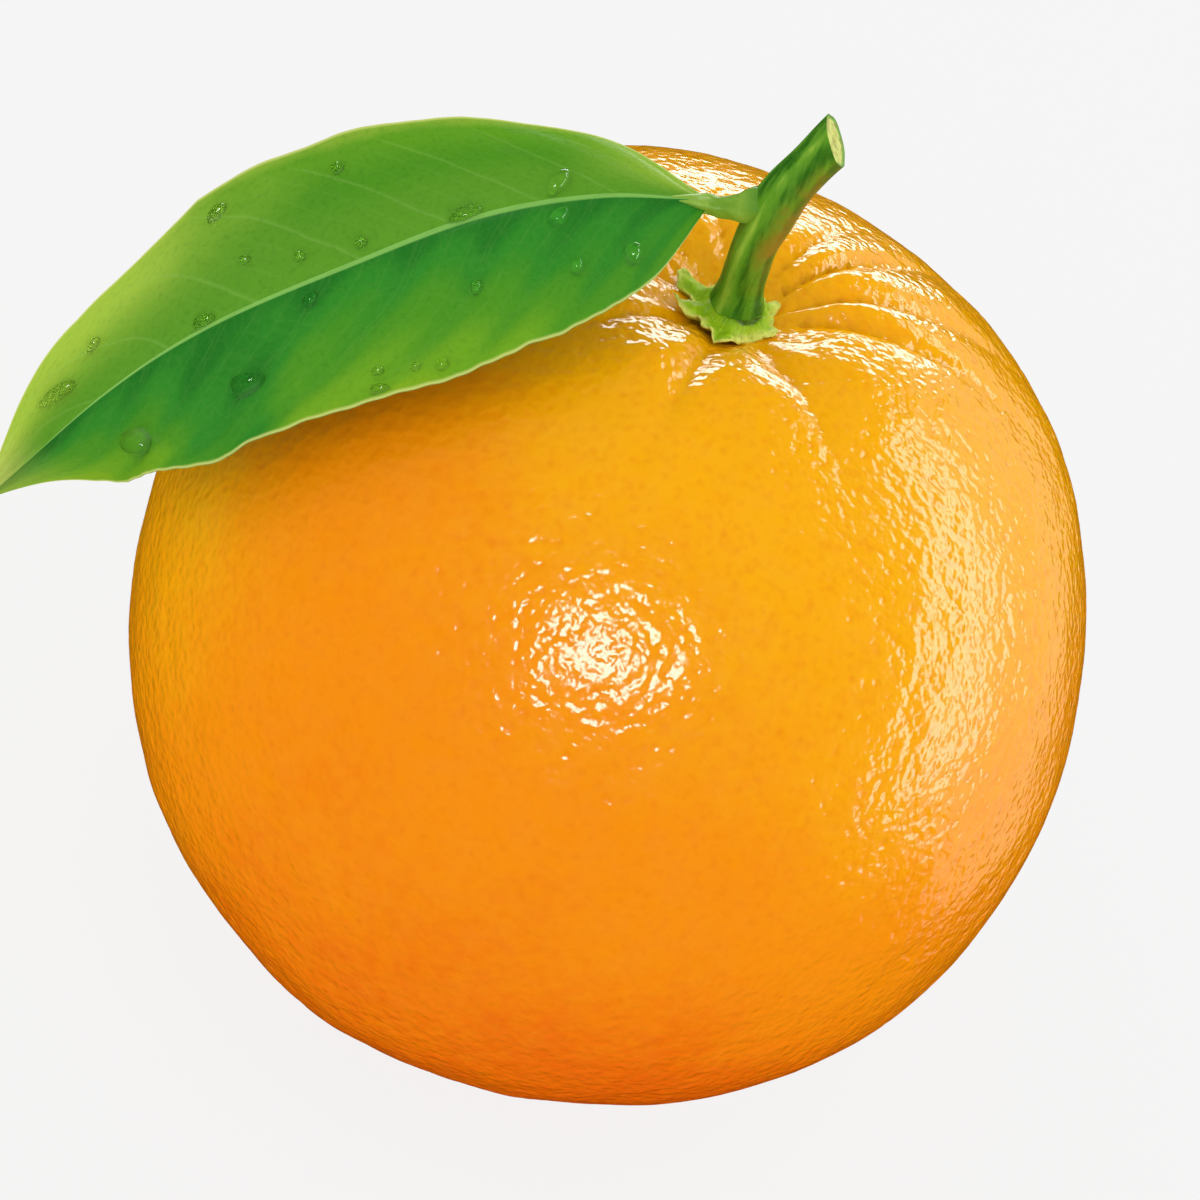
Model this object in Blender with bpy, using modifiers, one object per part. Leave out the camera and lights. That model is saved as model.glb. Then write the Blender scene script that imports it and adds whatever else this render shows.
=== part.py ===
"""A ripe orange with its calyx, a cut piece of its stem, one leaf on its stalk, and water drops on the leaf.

Metres, +Z up. The origin is the centre of the small flat spot at the blossom end that the fruit rests on,
and +Z runs up the fruit's own axis, through the middle of the calyx. The leaf hangs over the -X side.
"""

import math

import bmesh
import bpy
from mathutils import Matrix, Vector

MM = 0.001
GAP = 0.3 * MM  # between pieces that touch in the real fruit
CURVED_GAP = GAP + 0.1 * MM  # over a curved face, whose facets stray a little from it
WELD = 0.001 * MM
TUBE_STEPS = 3  # rings of a round rod for each point of its line

# Fruit: a rounded square section (a superellipse), a little narrower towards the stem
FRUIT_RADIUS = 38 * MM
FRUIT_HALF_HEIGHT = 0.95 * FRUIT_RADIUS
FRUIT_SQUARENESS = 2.2
FRUIT_TAPER = 0.03
FOOT_RADIUS = 10 * MM
FRUIT_CENTRE_Z = FRUIT_HALF_HEIGHT * (1 - (FOOT_RADIUS / FRUIT_RADIUS) ** FRUIT_SQUARENESS) ** (
    1 / FRUIT_SQUARENESS
)
FRUIT_SEGMENTS = 64
FRUIT_RINGS = 42
RING_CROWDING = 1.5  # above 1, the rings crowd towards the stem end
SECTION_ROUNDS = 6  # enough for peel_height to settle

# The hollow that the calyx sits in, and the furrows that run out of it
CAVITY_DEPTH = 4.2 * MM
CAVITY_RADIUS = 6.4 * MM
FURROW_START = 5 * MM
FURROW_SHARPNESS = 3  # how suddenly a furrow opens and fades out
ROLL_ROUNDNESS = 0.5  # lower makes the peel between two furrows rounder
FURROWS = (  # direction in degrees from +X in rising order, depth and length in mm
    (-179, 1.2, 13),
    (-137, 1.3, 12),
    (-97, 1.5, 15),
    (-48, 1.7, 14),
    (15, 2.0, 20),
    (32, 1.8, 21),
    (54, 1.8, 19),
    (69, 1.4, 15),
    (84, 1.2, 14),
    (112, 1.2, 13),
    (146, 1.3, 14),
)

# Calyx: a dished green star of ragged lobes
CALYX_HUB_RADIUS = 3.1 * MM
CALYX_HUB_THICKNESS = 1.1 * MM
CALYX_RIM_THICKNESS = 0.45 * MM
CALYX_ROUNDNESS = 4  # higher keeps the hub's thickness further out
CALYX_RIM_SLOPE = 3
CALYX_LOBES = (  # direction in degrees from +X, reach past the hub in mm, half width in degrees
    (-92, 2.2, 15),
    (-18, 0.3, 18),
    (44, 0.6, 16),
    (104, 1.0, 18),
    (174, 2.0, 15),
    (216, 2.4, 13),
    (244, 0.9, 12),
)
CALYX_SEGMENTS = 60
CALYX_RINGS = 10

# Stem: its middle line in mm, from the calyx to the slanting cut
STEM_BASE_RADIUS = 1.6 * MM
STEM_TOP_RADIUS = 1.75 * MM
STEM_LINE = (
    (-0.1, -0.2, 69.4),
    (-0.4, -0.5, 72.6),
    (-0.4, -0.5, 76),
    (0.3, -0.5, 80.5),
    (1.6, -0.5, 84.4),
    (3.4, -0.5, 89),
)
STEM_CUT_AT = (2.1, -0.5, 86.1)
STEM_CUT_NORMAL = Vector((0.81, 0.08, 0.58)).normalized()
CUTTER_SIDE = 14 * MM

# Leaf stalk: its middle line in mm, from the stem to the blade
STALK_RADIUS = 0.75 * MM
STALK_LINE = ((-2.4, -0.5, 77.8), (-3.1, -0.5, 77.25), (-3.9, -0.5, 76.95), (-4.65, -0.5, 76.85))

# Leaf blade: its midrib in mm from the stalk to the tip, then half widths in mm at equal steps along it
MIDRIB = (
    (-5, -0.5, 76.8),
    (-12.1, -4.3, 76.7),
    (-19.5, -8.1, 74),
    (-27.1, -10.8, 67.6),
    (-35.5, -12.4, 58.6),
    (-41.8, -12.8, 48.7),
    (-48.8, -13.25, 34.8),
)
BACK_HALF = (0.7, 4.2, 6.1, 8, 9.8, 11.3, 12.1, 10.9, 8.0, 3.7, 0.15)
FRONT_HALF = (0.7, 6.8, 9.8, 11.3, 12.0, 11.5, 11.5, 11.0, 8.1, 4.6, 0.15)
BLADE_FACE_AT_STALK = Vector((0.08, -0.22, 0.97))
BLADE_FACE_AT_TIP = Vector((0.47, -0.02, 0.88))
BACK_CROWN = 0.05  # how far each half bulges out of the flat, as a share of its width
FRONT_CROWN = -0.09
EDGE_WAVE = 0.12 * MM
EDGE_WAVES = 7
BLADE_THICKNESS = 0.45 * MM
LINE_STEP = 0.002  # a short way along the midrib, to read its direction
FACE_STEP = 0.01  # a short way along or aside, to read the face's slope
BLADE_STEPS = 36
BLADE_COLUMNS = 12

# Water drops on the blade: place along the midrib from 0 to 1, place aside (1 is the back edge and -1 the
# front edge), length and width in mm, and turn from the midrib in degrees
DROPS = (
    (0.22, 0.20, 2.76, 1.26, 35),
    (0.23, -0.12, 2.18, 1.38, 28),
    (0.35, 0.05, 2.88, 1.03, 8),
    (0.13, -0.61, 2.3, 1.61, -20),
    (0.22, -0.53, 1.38, 1.15, 0),
    (0.36, -0.43, 1.26, 0.92, 40),
    (0.49, 0.70, 1.03, 0.92, 0),
    (0.48, 0.11, 0.92, 0.8, 0),
    (0.55, 0.17, 0.8, 0.8, 0),
    (0.61, 0.30, 0.8, 0.69, 0),
    (0.64, 0.76, 1.72, 0.92, 25),
    (0.55, -0.11, 1.15, 1.03, 0),
    (0.67, 0.05, 1.72, 0.92, -5),
    (0.82, 0.53, 1.03, 0.69, 15),
    (0.87, 0.46, 2.76, 1.03, -25),
    (0.63, -0.52, 2.53, 1.84, 12),
    (0.80, -0.64, 2.64, 2.3, 30),
    (0.42, -0.88, 1.03, 0.92, 0),
    (0.45, -0.84, 0.69, 0.69, 0),
    (0.49, -0.79, 0.8, 0.69, 0),
    (0.49, -0.94, 1.26, 0.8, 0),
)
DROP_HEIGHT = 0.42  # of a drop's width
DROP_SEGMENTS = 12
DROP_RINGS = 8


# ---------------------------------------------------------------- helpers


def smooth_line(points, along):
    """A point on the smooth curve through the points, with along from 0 to 1."""
    last = len(points) - 1
    place = min(max(along, 0.0), 1.0) * last
    start = min(int(place), last - 1)
    u = place - start
    here = points[start]
    there = points[start + 1]
    before = points[start - 1] if start else 2 * here - there
    after = points[start + 2] if start + 2 <= last else 2 * there - here
    cubic = 3 * here - before - 3 * there + after
    square = 2 * before - 5 * here + 4 * there - after
    return (2 * here + (there - before) * u + square * u**2 + cubic * u**3) * 0.5


def degrees_apart(first, second):
    """The angle from the second direction to the first, from -180 to 180."""
    return (first - second + 180) % 360 - 180


def in_metres(points):
    return [Vector(point) * MM for point in points]


def make_material(name, colour, roughness):
    material = bpy.data.materials.new(name)
    material.use_nodes = True
    shader = material.node_tree.nodes["Principled BSDF"]
    shader.inputs["Base Color"].default_value = (*colour, 1)
    shader.inputs["Roughness"].default_value = roughness
    shader.inputs["Metallic"].default_value = 0
    return material


def make_object(name, data, material, collection):
    data.materials.append(material)
    piece = bpy.data.objects.new(name, data)
    collection.objects.link(piece)
    return piece


def mesh_from(name, form):
    """Stores a bmesh as a smooth-shaded mesh."""
    mesh = bpy.data.meshes.new(name)
    form.to_mesh(mesh)
    form.free()
    mesh.shade_smooth()
    return mesh


def clear_scene():
    for old in list(bpy.data.objects):
        bpy.data.objects.remove(old)


# ---------------------------------------------------------------- fruit


def section_radius(height):
    """The plain section's radius at a height from -1 to 1 over the half height."""
    side = max(1 - abs(height) ** FRUIT_SQUARENESS, 0) ** (1 / FRUIT_SQUARENESS)
    return FRUIT_RADIUS * side * (1 - FRUIT_TAPER * height)


def furrow_at(direction):
    """The furrows' depth and length at a direction in degrees, and how far across the roll it is."""
    first = FURROWS[0]
    turned = (direction - first[0]) % 360 + first[0]
    rounds = FURROWS + ((first[0] + 360, *first[1:]),)
    for before, after in zip(rounds, rounds[1:]):
        if turned < after[0]:
            break
    share = (turned - before[0]) / (after[0] - before[0])
    depth = before[1] * (1 - share) + after[1] * share
    length = before[2] * (1 - share) + after[2] * share
    return depth * MM, length * MM, share


def hollow_at(reach, direction):
    """How far the peel lies below the plain section, at a reach from the axis and a direction in degrees."""
    depth, length, share = furrow_at(direction)
    roll = (4 * share * (1 - share)) ** ROLL_ROUNDNESS
    opening = 1 - math.exp(-((reach / FURROW_START) ** FURROW_SHARPNESS))
    fade = math.exp(-((reach / length) ** FURROW_SHARPNESS))
    cavity = CAVITY_DEPTH * math.exp(-((reach / CAVITY_RADIUS) ** 2))
    return cavity + depth * opening * fade * (1 - roll)


def peel_height(reach, direction):
    """The height of the peel near the stem, at a distance from the axis."""
    height = 1.0
    for _ in range(SECTION_ROUNDS):
        side = reach / (FRUIT_RADIUS * (1 - FRUIT_TAPER * height))
        height = (1 - side**FRUIT_SQUARENESS) ** (1 / FRUIT_SQUARENESS)
    return FRUIT_CENTRE_Z + FRUIT_HALF_HEIGHT * height - hollow_at(reach, direction)


def build_fruit(collection):
    form = bmesh.new()
    bmesh.ops.create_uvsphere(form, u_segments=FRUIT_SEGMENTS, v_segments=FRUIT_RINGS, radius=1)
    for vert in form.verts:
        polar = math.acos(min(max(vert.co.z, -1), 1)) / math.pi
        polar = math.pi * polar**RING_CROWDING
        direction = math.atan2(vert.co.y, vert.co.x)
        level = math.cos(polar)
        height = math.copysign(abs(level) ** (2 / FRUIT_SQUARENESS), level)
        reach = section_radius(height)
        z = FRUIT_CENTRE_Z + FRUIT_HALF_HEIGHT * height
        if height > 0:
            z -= hollow_at(reach, math.degrees(direction))
        vert.co = (reach * math.cos(direction), reach * math.sin(direction), max(z, 0))
    peel = make_material("peel", (0.93, 0.36, 0.01), 0.35)
    make_object("fruit", mesh_from("fruit", form), peel, collection)


# ---------------------------------------------------------------- calyx and stem


def calyx_reach(direction):
    """The star's outline: its distance from the axis in a direction in degrees."""
    reach = CALYX_HUB_RADIUS
    for lobe, length, half_width in CALYX_LOBES:
        reach += length * MM * math.exp(-((degrees_apart(direction, lobe) / half_width) ** 2))
    return reach


def build_calyx(collection):
    form = bmesh.new()
    bmesh.ops.create_uvsphere(form, u_segments=CALYX_SEGMENTS, v_segments=CALYX_RINGS, radius=1)
    for vert in form.verts:
        turn = math.atan2(vert.co.y, vert.co.x)
        direction = math.degrees(turn)
        out = math.hypot(vert.co.x, vert.co.y)
        reach = out * calyx_reach(direction)
        swell = math.sqrt(max(1 - out**CALYX_ROUNDNESS, 0))
        thickness = CALYX_RIM_THICKNESS + (CALYX_HUB_THICKNESS - CALYX_RIM_THICKNESS) * swell
        z = peel_height(reach, direction) + CURVED_GAP
        if vert.co.z > 0:
            z += thickness * min(swell * CALYX_RIM_SLOPE, 1)
        vert.co = (reach * math.cos(turn), reach * math.sin(turn), z)
    green = make_material("calyx", (0.22, 0.42, 0.05), 0.6)
    make_object("calyx", mesh_from("calyx", form), green, collection)


def tube(name, line, radii):
    """A curve object's data: a round rod through the points, with a radius at each."""
    curve = bpy.data.curves.new(name, "CURVE")
    curve.dimensions = "3D"
    curve.bevel_depth = 1
    curve.bevel_resolution = 3
    curve.use_fill_caps = True
    steps = TUBE_STEPS * (len(line) - 1)
    spline = curve.splines.new("POLY")
    spline.points.add(steps)
    for step, point in enumerate(spline.points):
        along = step / steps
        point.co = (*smooth_line(line, along), 1)
        point.radius = radii[0] + (radii[1] - radii[0]) * along
    return curve


def build_stem(parts, cutters):
    twig_green = make_material("stem", (0.10, 0.28, 0.03), 0.45)
    middle = tube("stem_rod", in_metres(STEM_LINE), (STEM_BASE_RADIUS, STEM_TOP_RADIUS))
    rod = make_object("stem_rod", middle, twig_green, parts)
    graph = bpy.context.evaluated_depsgraph_get()
    mesh = bpy.data.meshes.new_from_object(rod.evaluated_get(graph))
    bpy.data.objects.remove(rod)
    form = bmesh.new()
    form.from_mesh(mesh)
    bmesh.ops.remove_doubles(form, verts=form.verts, dist=WELD)
    form.to_mesh(mesh)
    form.free()
    mesh.name = "stem"
    mesh.shade_smooth()
    stem = bpy.data.objects.new("stem", mesh)
    parts.objects.link(stem)

    block = bmesh.new()
    bmesh.ops.create_cube(block, size=CUTTER_SIDE)
    knife = bpy.data.objects.new("stem_knife", mesh_from("stem_knife", block))
    cutters.objects.link(knife)
    knife.location = Vector(STEM_CUT_AT) * MM + STEM_CUT_NORMAL * CUTTER_SIDE / 2
    knife.rotation_euler = STEM_CUT_NORMAL.to_track_quat("Z", "Y").to_euler()
    knife.hide_render = True
    knife.display_type = "WIRE"
    cut = stem.modifiers.new("slanting cut", "BOOLEAN")
    cut.operation = "DIFFERENCE"
    cut.object = knife


# ---------------------------------------------------------------- leaf


def blade_frame(along):
    """Where the midrib is, the way across to the back half, and the way out of the upper face."""
    midrib = in_metres(MIDRIB)
    here = smooth_line(midrib, along)
    ahead = (smooth_line(midrib, along + LINE_STEP) - smooth_line(midrib, along - LINE_STEP)).normalized()
    face = BLADE_FACE_AT_STALK.lerp(BLADE_FACE_AT_TIP, along)
    across = ahead.cross(face).normalized()
    return here, across, across.cross(ahead)


def blade_point(along, aside, lift=0.0):
    """A point of the blade's surface: aside is 1 on the back edge and -1 on the front edge."""
    here, across, out = blade_frame(along)
    half = BACK_HALF if aside > 0 else FRONT_HALF
    crown = BACK_CROWN if aside > 0 else FRONT_CROWN
    width = smooth_line(half, along) * MM
    bulge = 4 * crown * width * abs(aside) * (1 - abs(aside))
    wave = EDGE_WAVE * aside**2 * math.sin(2 * math.pi * EDGE_WAVES * along) * math.sin(math.pi * along)
    return here + across * width * aside + out * (bulge + wave + lift)


def blade_normal(along, aside):
    """The way out of the upper face at a point of the blade, curved as it is there."""
    forward = blade_point(along + FACE_STEP, aside) - blade_point(along - FACE_STEP, aside)
    sideways = blade_point(along, aside + FACE_STEP) - blade_point(along, aside - FACE_STEP)
    return sideways.cross(forward).normalized()


def build_stalk(collection):
    green = make_material("leaf_stalk", (0.12, 0.33, 0.04), 0.45)
    rod = tube("leaf_stalk", in_metres(STALK_LINE), (STALK_RADIUS, STALK_RADIUS))
    make_object("leaf_stalk", rod, green, collection)


def build_blade(collection):
    form = bmesh.new()
    bmesh.ops.create_grid(form, x_segments=BLADE_STEPS, y_segments=BLADE_COLUMNS, size=1)
    for vert in form.verts:
        vert.co = blade_point((vert.co.x + 1) / 2, vert.co.y)
    bmesh.ops.recalc_face_normals(form, faces=form.faces)
    green = make_material("leaf_blade", (0.08, 0.30, 0.03), 0.4)
    blade = make_object("leaf_blade", mesh_from("leaf_blade", form), green, collection)
    shell = blade.modifiers.new("thickness", "SOLIDIFY")
    shell.thickness = BLADE_THICKNESS
    shell.offset = 0


def build_drops(collection):
    """Each drop is a flat-bottomed dome that lies a gap above the blade, turned to the blade there."""
    form = bmesh.new()
    bmesh.ops.create_uvsphere(form, u_segments=DROP_SEGMENTS, v_segments=DROP_RINGS, radius=1)
    for vert in form.verts:
        vert.co.z = max(vert.co.z, 0)
    dome = mesh_from("drop", form)
    dome.materials.append(make_material("water", (0.8, 0.9, 0.8), 0.05))
    lift = BLADE_THICKNESS / 2 + CURVED_GAP
    for number, (along, aside, length, width, turn) in enumerate(DROPS, start=1):
        drop = bpy.data.objects.new(f"drop_{number:02d}", dome)
        collection.objects.link(drop)
        out = blade_normal(along, aside)
        ahead = (blade_point(along + FACE_STEP, aside) - blade_point(along - FACE_STEP, aside)).normalized()
        side = out.cross(ahead)
        axes = Matrix((ahead, side, out)).transposed() @ Matrix.Rotation(math.radians(turn), 3, "Z")
        drop.location = blade_point(along, aside) + out * lift
        drop.rotation_euler = axes.to_euler()
        drop.scale = (length / 2 * MM, width / 2 * MM, width * DROP_HEIGHT * MM)


def main():
    clear_scene()
    parts = bpy.data.collections.new("orange")
    cutters = bpy.data.collections.new("cutters")
    bpy.context.scene.collection.children.link(parts)
    bpy.context.scene.collection.children.link(cutters)
    build_fruit(parts)
    build_calyx(parts)
    build_stem(parts, cutters)
    build_stalk(parts)
    build_blade(parts)
    build_drops(parts)


main()
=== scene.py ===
"""A ripe orange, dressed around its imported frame.

The pieces are a pitted peel with furrows round the stem, a ragged calyx, a ribbed stem with a
slanting cut, a leaf stalk, a veined leaf blade, and the water drops on it. Metres, +Z up. The
fruit rests on the origin, its own axis runs up +Z through the calyx, and the leaf hangs over the
-X side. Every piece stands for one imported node.
"""

import logging
import math
from collections.abc import Mapping, Sequence
from dataclasses import dataclass
from enum import Enum
from typing import Union

import bmesh
import bpy
import numpy as np
from mathutils import Matrix, Vector
from mathutils.kdtree import KDTree


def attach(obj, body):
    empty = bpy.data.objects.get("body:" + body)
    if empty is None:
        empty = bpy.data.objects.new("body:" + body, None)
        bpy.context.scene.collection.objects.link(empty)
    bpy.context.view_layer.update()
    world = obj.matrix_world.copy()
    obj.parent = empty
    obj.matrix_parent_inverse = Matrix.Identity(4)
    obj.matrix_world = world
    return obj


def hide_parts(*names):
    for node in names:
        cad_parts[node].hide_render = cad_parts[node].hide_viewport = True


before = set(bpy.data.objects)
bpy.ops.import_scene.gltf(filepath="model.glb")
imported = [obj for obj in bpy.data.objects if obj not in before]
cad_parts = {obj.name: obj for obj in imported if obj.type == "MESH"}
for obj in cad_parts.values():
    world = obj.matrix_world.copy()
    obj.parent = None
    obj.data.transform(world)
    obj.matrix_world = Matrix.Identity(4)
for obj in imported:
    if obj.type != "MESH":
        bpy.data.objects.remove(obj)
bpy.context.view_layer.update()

LOG = logging.getLogger("orange")
MM = 0.001
BODY = "root"
TURN = 2 * math.pi
BLADE_LENGTH = 65 * MM
BLADE_HALF_WIDTH = 12 * MM
LIGHT_RISE = (-0.37, 0.62, 0.69)

Array = np.ndarray
Faces = list[tuple[int, ...]]
Place = tuple[float, float, float]
Colour = tuple[float, float, float]
Span = tuple[float, float]
Stops = tuple[tuple[float, Colour], ...]
Value = Union["Wire", float, Sequence[float]]

RISE: Span = (0.0, 1.0)
FALL: Span = (1.0, 0.0)
MEAN = 0.5  # what a noise varies about


class Slot(Enum):
    """The record's material slots."""

    PEEL = "peel"
    CALYX = "calyx"
    STEM = "stem"
    LEAF_STALK = "leaf_stalk"
    LEAF_BLADE = "leaf_blade"
    WATER = "water"


# ---------------------------------------------------------------- shapes in numbers


def smooth_line(points: Array, along: Array) -> Array:
    """Points on the smooth curve through some points.

    Args:
        points: The points, or plain numbers, at equal steps.
        along: How far along to read, from 0 to 1.

    Returns:
        One point or number for each value of along.
    """
    points = np.asarray(points, float)
    last = len(points) - 1
    place = np.clip(along, 0, 1) * last
    start = np.minimum(place.astype(int), last - 1)
    u = place - start
    if points.ndim > 1:
        u = u[..., None]
    ends = (2 * points[:1] - points[1:2], points, 2 * points[-1:] - points[-2:-1])
    padded = np.concatenate(ends)
    before, here, there, after = (padded[start + step] for step in range(4))
    cubic = 3 * here - before - 3 * there + after
    square = 2 * before - 5 * here + 4 * there - after
    return (2 * here + (there - before) * u + square * u**2 + cubic * u**3) / 2


def smooth_step(low: float, high: float, value: Array) -> Array:
    """Eases from 0 at low to 1 at high; low may be the larger one."""
    share = np.clip((value - low) / (high - low), 0, 1)
    return share * share * (3 - 2 * share)


def degrees_apart(first: Array, second: float) -> Array:
    """The angle from the second direction to the first, from -180 to 180."""
    return (first - second + 180) % 360 - 180


def unit(vectors: Array) -> Array:
    """The vectors at length 1."""
    return vectors / np.linalg.norm(vectors, axis=-1, keepdims=True)


def hump(value: Array, width: Array | float, power: int = 2) -> Array:
    """1 at 0, fading out as the value grows past the width."""
    return np.exp(-((value / width) ** power))


def off_middle(beat: Union[Array, "Wire"]) -> Union[Array, "Wire"]:
    """How far a beat from 0 to 1 is from its middle, as 0 to 1."""
    return abs(beat - 0.5) * 2


def crossed(rows: Array, columns: Array) -> Sequence[Array]:
    """Two grids that hold the row's value and the column's value at every crossing."""
    return np.meshgrid(rows, columns, indexing="ij")


def round_axis(turn: Array, reach: Array | float, z: Array | float) -> Array:
    """Points at an angle and a distance round the z axis."""
    return np.stack(np.broadcast_arrays(reach * np.cos(turn), reach * np.sin(turn), z), -1)


@dataclass(frozen=True)
class Ripples:
    """Smooth, repeatable unevenness: sine waves that run in random directions."""

    seed: int
    height: float
    length: float
    waves: int = 14
    spread: Span = (0.6, 1.6)

    def at(self, points: Array) -> Array:
        """The unevenness at each point, of about the height up or down.

        Args:
            points: One row of x, y and z for each point.

        Returns:
            A number for each point.
        """
        draw = np.random.default_rng(self.seed)
        lengths = self.length * draw.uniform(*self.spread, (self.waves, 1))
        ways = unit(draw.normal(size=(self.waves, 3))) * TURN / lengths
        starts = draw.uniform(0, TURN, self.waves)
        waves = np.sin(points @ ways.T + starts)
        return self.height * (waves.sum(-1) / math.sqrt(self.waves))


# ---------------------------------------------------------------- meshes


def grid_faces(rows: int, columns: int, wrap: bool) -> Faces:
    """Quads over a grid of points that is numbered row by row.

    Args:
        rows: Rows of points.
        columns: Points in each row.
        wrap: Whether the last column joins the first.

    Returns:
        The corners of each quad.
    """
    row, column = crossed(np.arange(rows - 1), np.arange(columns if wrap else columns - 1))
    following = (column + 1) % columns
    corners = (
        row * columns + column,
        row * columns + following,
        (row + 1) * columns + following,
        (row + 1) * columns + column,
    )
    return [tuple(quad) for quad in np.stack(corners, -1).reshape(-1, 4).tolist()]


def fan_faces(ring: Sequence[int], middle: int) -> Faces:
    """Triangles from a ring of points to a middle point."""
    return [(ring[step], ring[(step + 1) % len(ring)], middle) for step in range(len(ring))]


def closed_skin(rings: Array, first: Array, last: Array) -> tuple[Array, Faces]:
    """Joins rings of points, and closes both ends with a middle point.

    Args:
        rings: The points, ring by ring.
        first: The middle point of the first ring.
        last: The middle point of the last ring.

    Returns:
        The points in one list, with the two middle points at its end, and the faces.
    """
    count, turns = rings.shape[:2]
    total = count * turns
    faces = grid_faces(count, turns, True)
    faces += fan_faces(range(turns), total)
    faces += fan_faces(range(total - turns, total), total + 1)
    return np.concatenate((rings.reshape(-1, 3), [first, last])), faces


def new_mesh(
    name: str, points: Array, faces: Faces, marks: Mapping[str, Array] | None = None
) -> bpy.types.Mesh:
    """Makes a smooth-shaded mesh whose faces point out.

    Args:
        name: The mesh's name.
        points: One row of x, y and z for each vertex.
        faces: The corners of each face.
        marks: Numbers for each vertex, which a finish reads by name.

    Returns:
        The mesh.
    """
    mesh = bpy.data.meshes.new(name)
    mesh.from_pydata(points.reshape(-1, 3).tolist(), [], faces)
    for mark, values in (marks or {}).items():
        stored = mesh.attributes.new(mark, "FLOAT", "POINT")
        stored.data.foreach_set("value", np.ascontiguousarray(values, np.float32).ravel())
    form = bmesh.new()
    form.from_mesh(mesh)
    bmesh.ops.recalc_face_normals(form, faces=form.faces)
    form.to_mesh(mesh)
    form.free()
    mesh.shade_smooth()
    return mesh


def vertex_arrays(mesh: bpy.types.Mesh) -> tuple[Array, Array]:
    """A mesh's vertex places and normals.

    Args:
        mesh: The mesh.

    Returns:
        The places and the normals, a row each.
    """
    places = np.empty(len(mesh.vertices) * 3, np.float32)
    normals = np.empty(len(mesh.vertices) * 3, np.float32)
    mesh.vertices.foreach_get("co", places)
    mesh.vertex_normals.foreach_get("vector", normals)
    return places.reshape(-1, 3).astype(float), normals.reshape(-1, 3).astype(float)


def move_vertices(mesh: bpy.types.Mesh, places: Array) -> None:
    """Puts a mesh's vertices at new places."""
    mesh.vertices.foreach_set("co", np.ascontiguousarray(places, np.float32).ravel())
    mesh.update()


def stand_in(node: str, mesh: bpy.types.Mesh, finish: bpy.types.Material, slot: Slot) -> bpy.types.Object:
    """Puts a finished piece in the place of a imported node.

    Args:
        node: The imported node's name.
        mesh: The piece's mesh, already in place.
        finish: Its material.
        slot: The record's slot that the finish belongs to.

    Returns:
        The piece.
    """
    mesh.materials.append(finish)
    piece = bpy.data.objects.new(f"orange_{node}", mesh)
    bpy.context.scene.collection.objects.link(piece)
    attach(piece, BODY)
    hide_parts(node)
    LOG.info("%s: %d faces, slot %s", node, len(mesh.polygons), slot.value)
    return piece


# ---------------------------------------------------------------- shader graphs


class Wire:
    """A shader socket that Python's operators work on, by adding Math nodes."""

    def __init__(self, graph: "Graph", socket: bpy.types.NodeSocket) -> None:
        """Wraps an output socket of a graph."""
        self.graph = graph
        self.socket = socket

    def __add__(self, other: Value) -> "Wire":
        """The sum."""
        return self.graph.math("ADD", self, other)

    def __radd__(self, other: Value) -> "Wire":
        """The sum, from the right."""
        return self.graph.math("ADD", other, self)

    def __sub__(self, other: Value) -> "Wire":
        """The difference."""
        return self.graph.math("SUBTRACT", self, other)

    def __rsub__(self, other: Value) -> "Wire":
        """The difference, from the right."""
        return self.graph.math("SUBTRACT", other, self)

    def __mul__(self, other: Value) -> "Wire":
        """The product."""
        return self.graph.math("MULTIPLY", self, other)

    def __rmul__(self, other: Value) -> "Wire":
        """The product, from the right."""
        return self.graph.math("MULTIPLY", other, self)

    def __truediv__(self, other: Value) -> "Wire":
        """The quotient."""
        return self.graph.math("DIVIDE", self, other)

    def __rtruediv__(self, other: Value) -> "Wire":
        """The quotient, from the right."""
        return self.graph.math("DIVIDE", other, self)

    def __abs__(self) -> "Wire":
        """The size without its sign."""
        return self.graph.math("ABSOLUTE", self)


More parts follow.
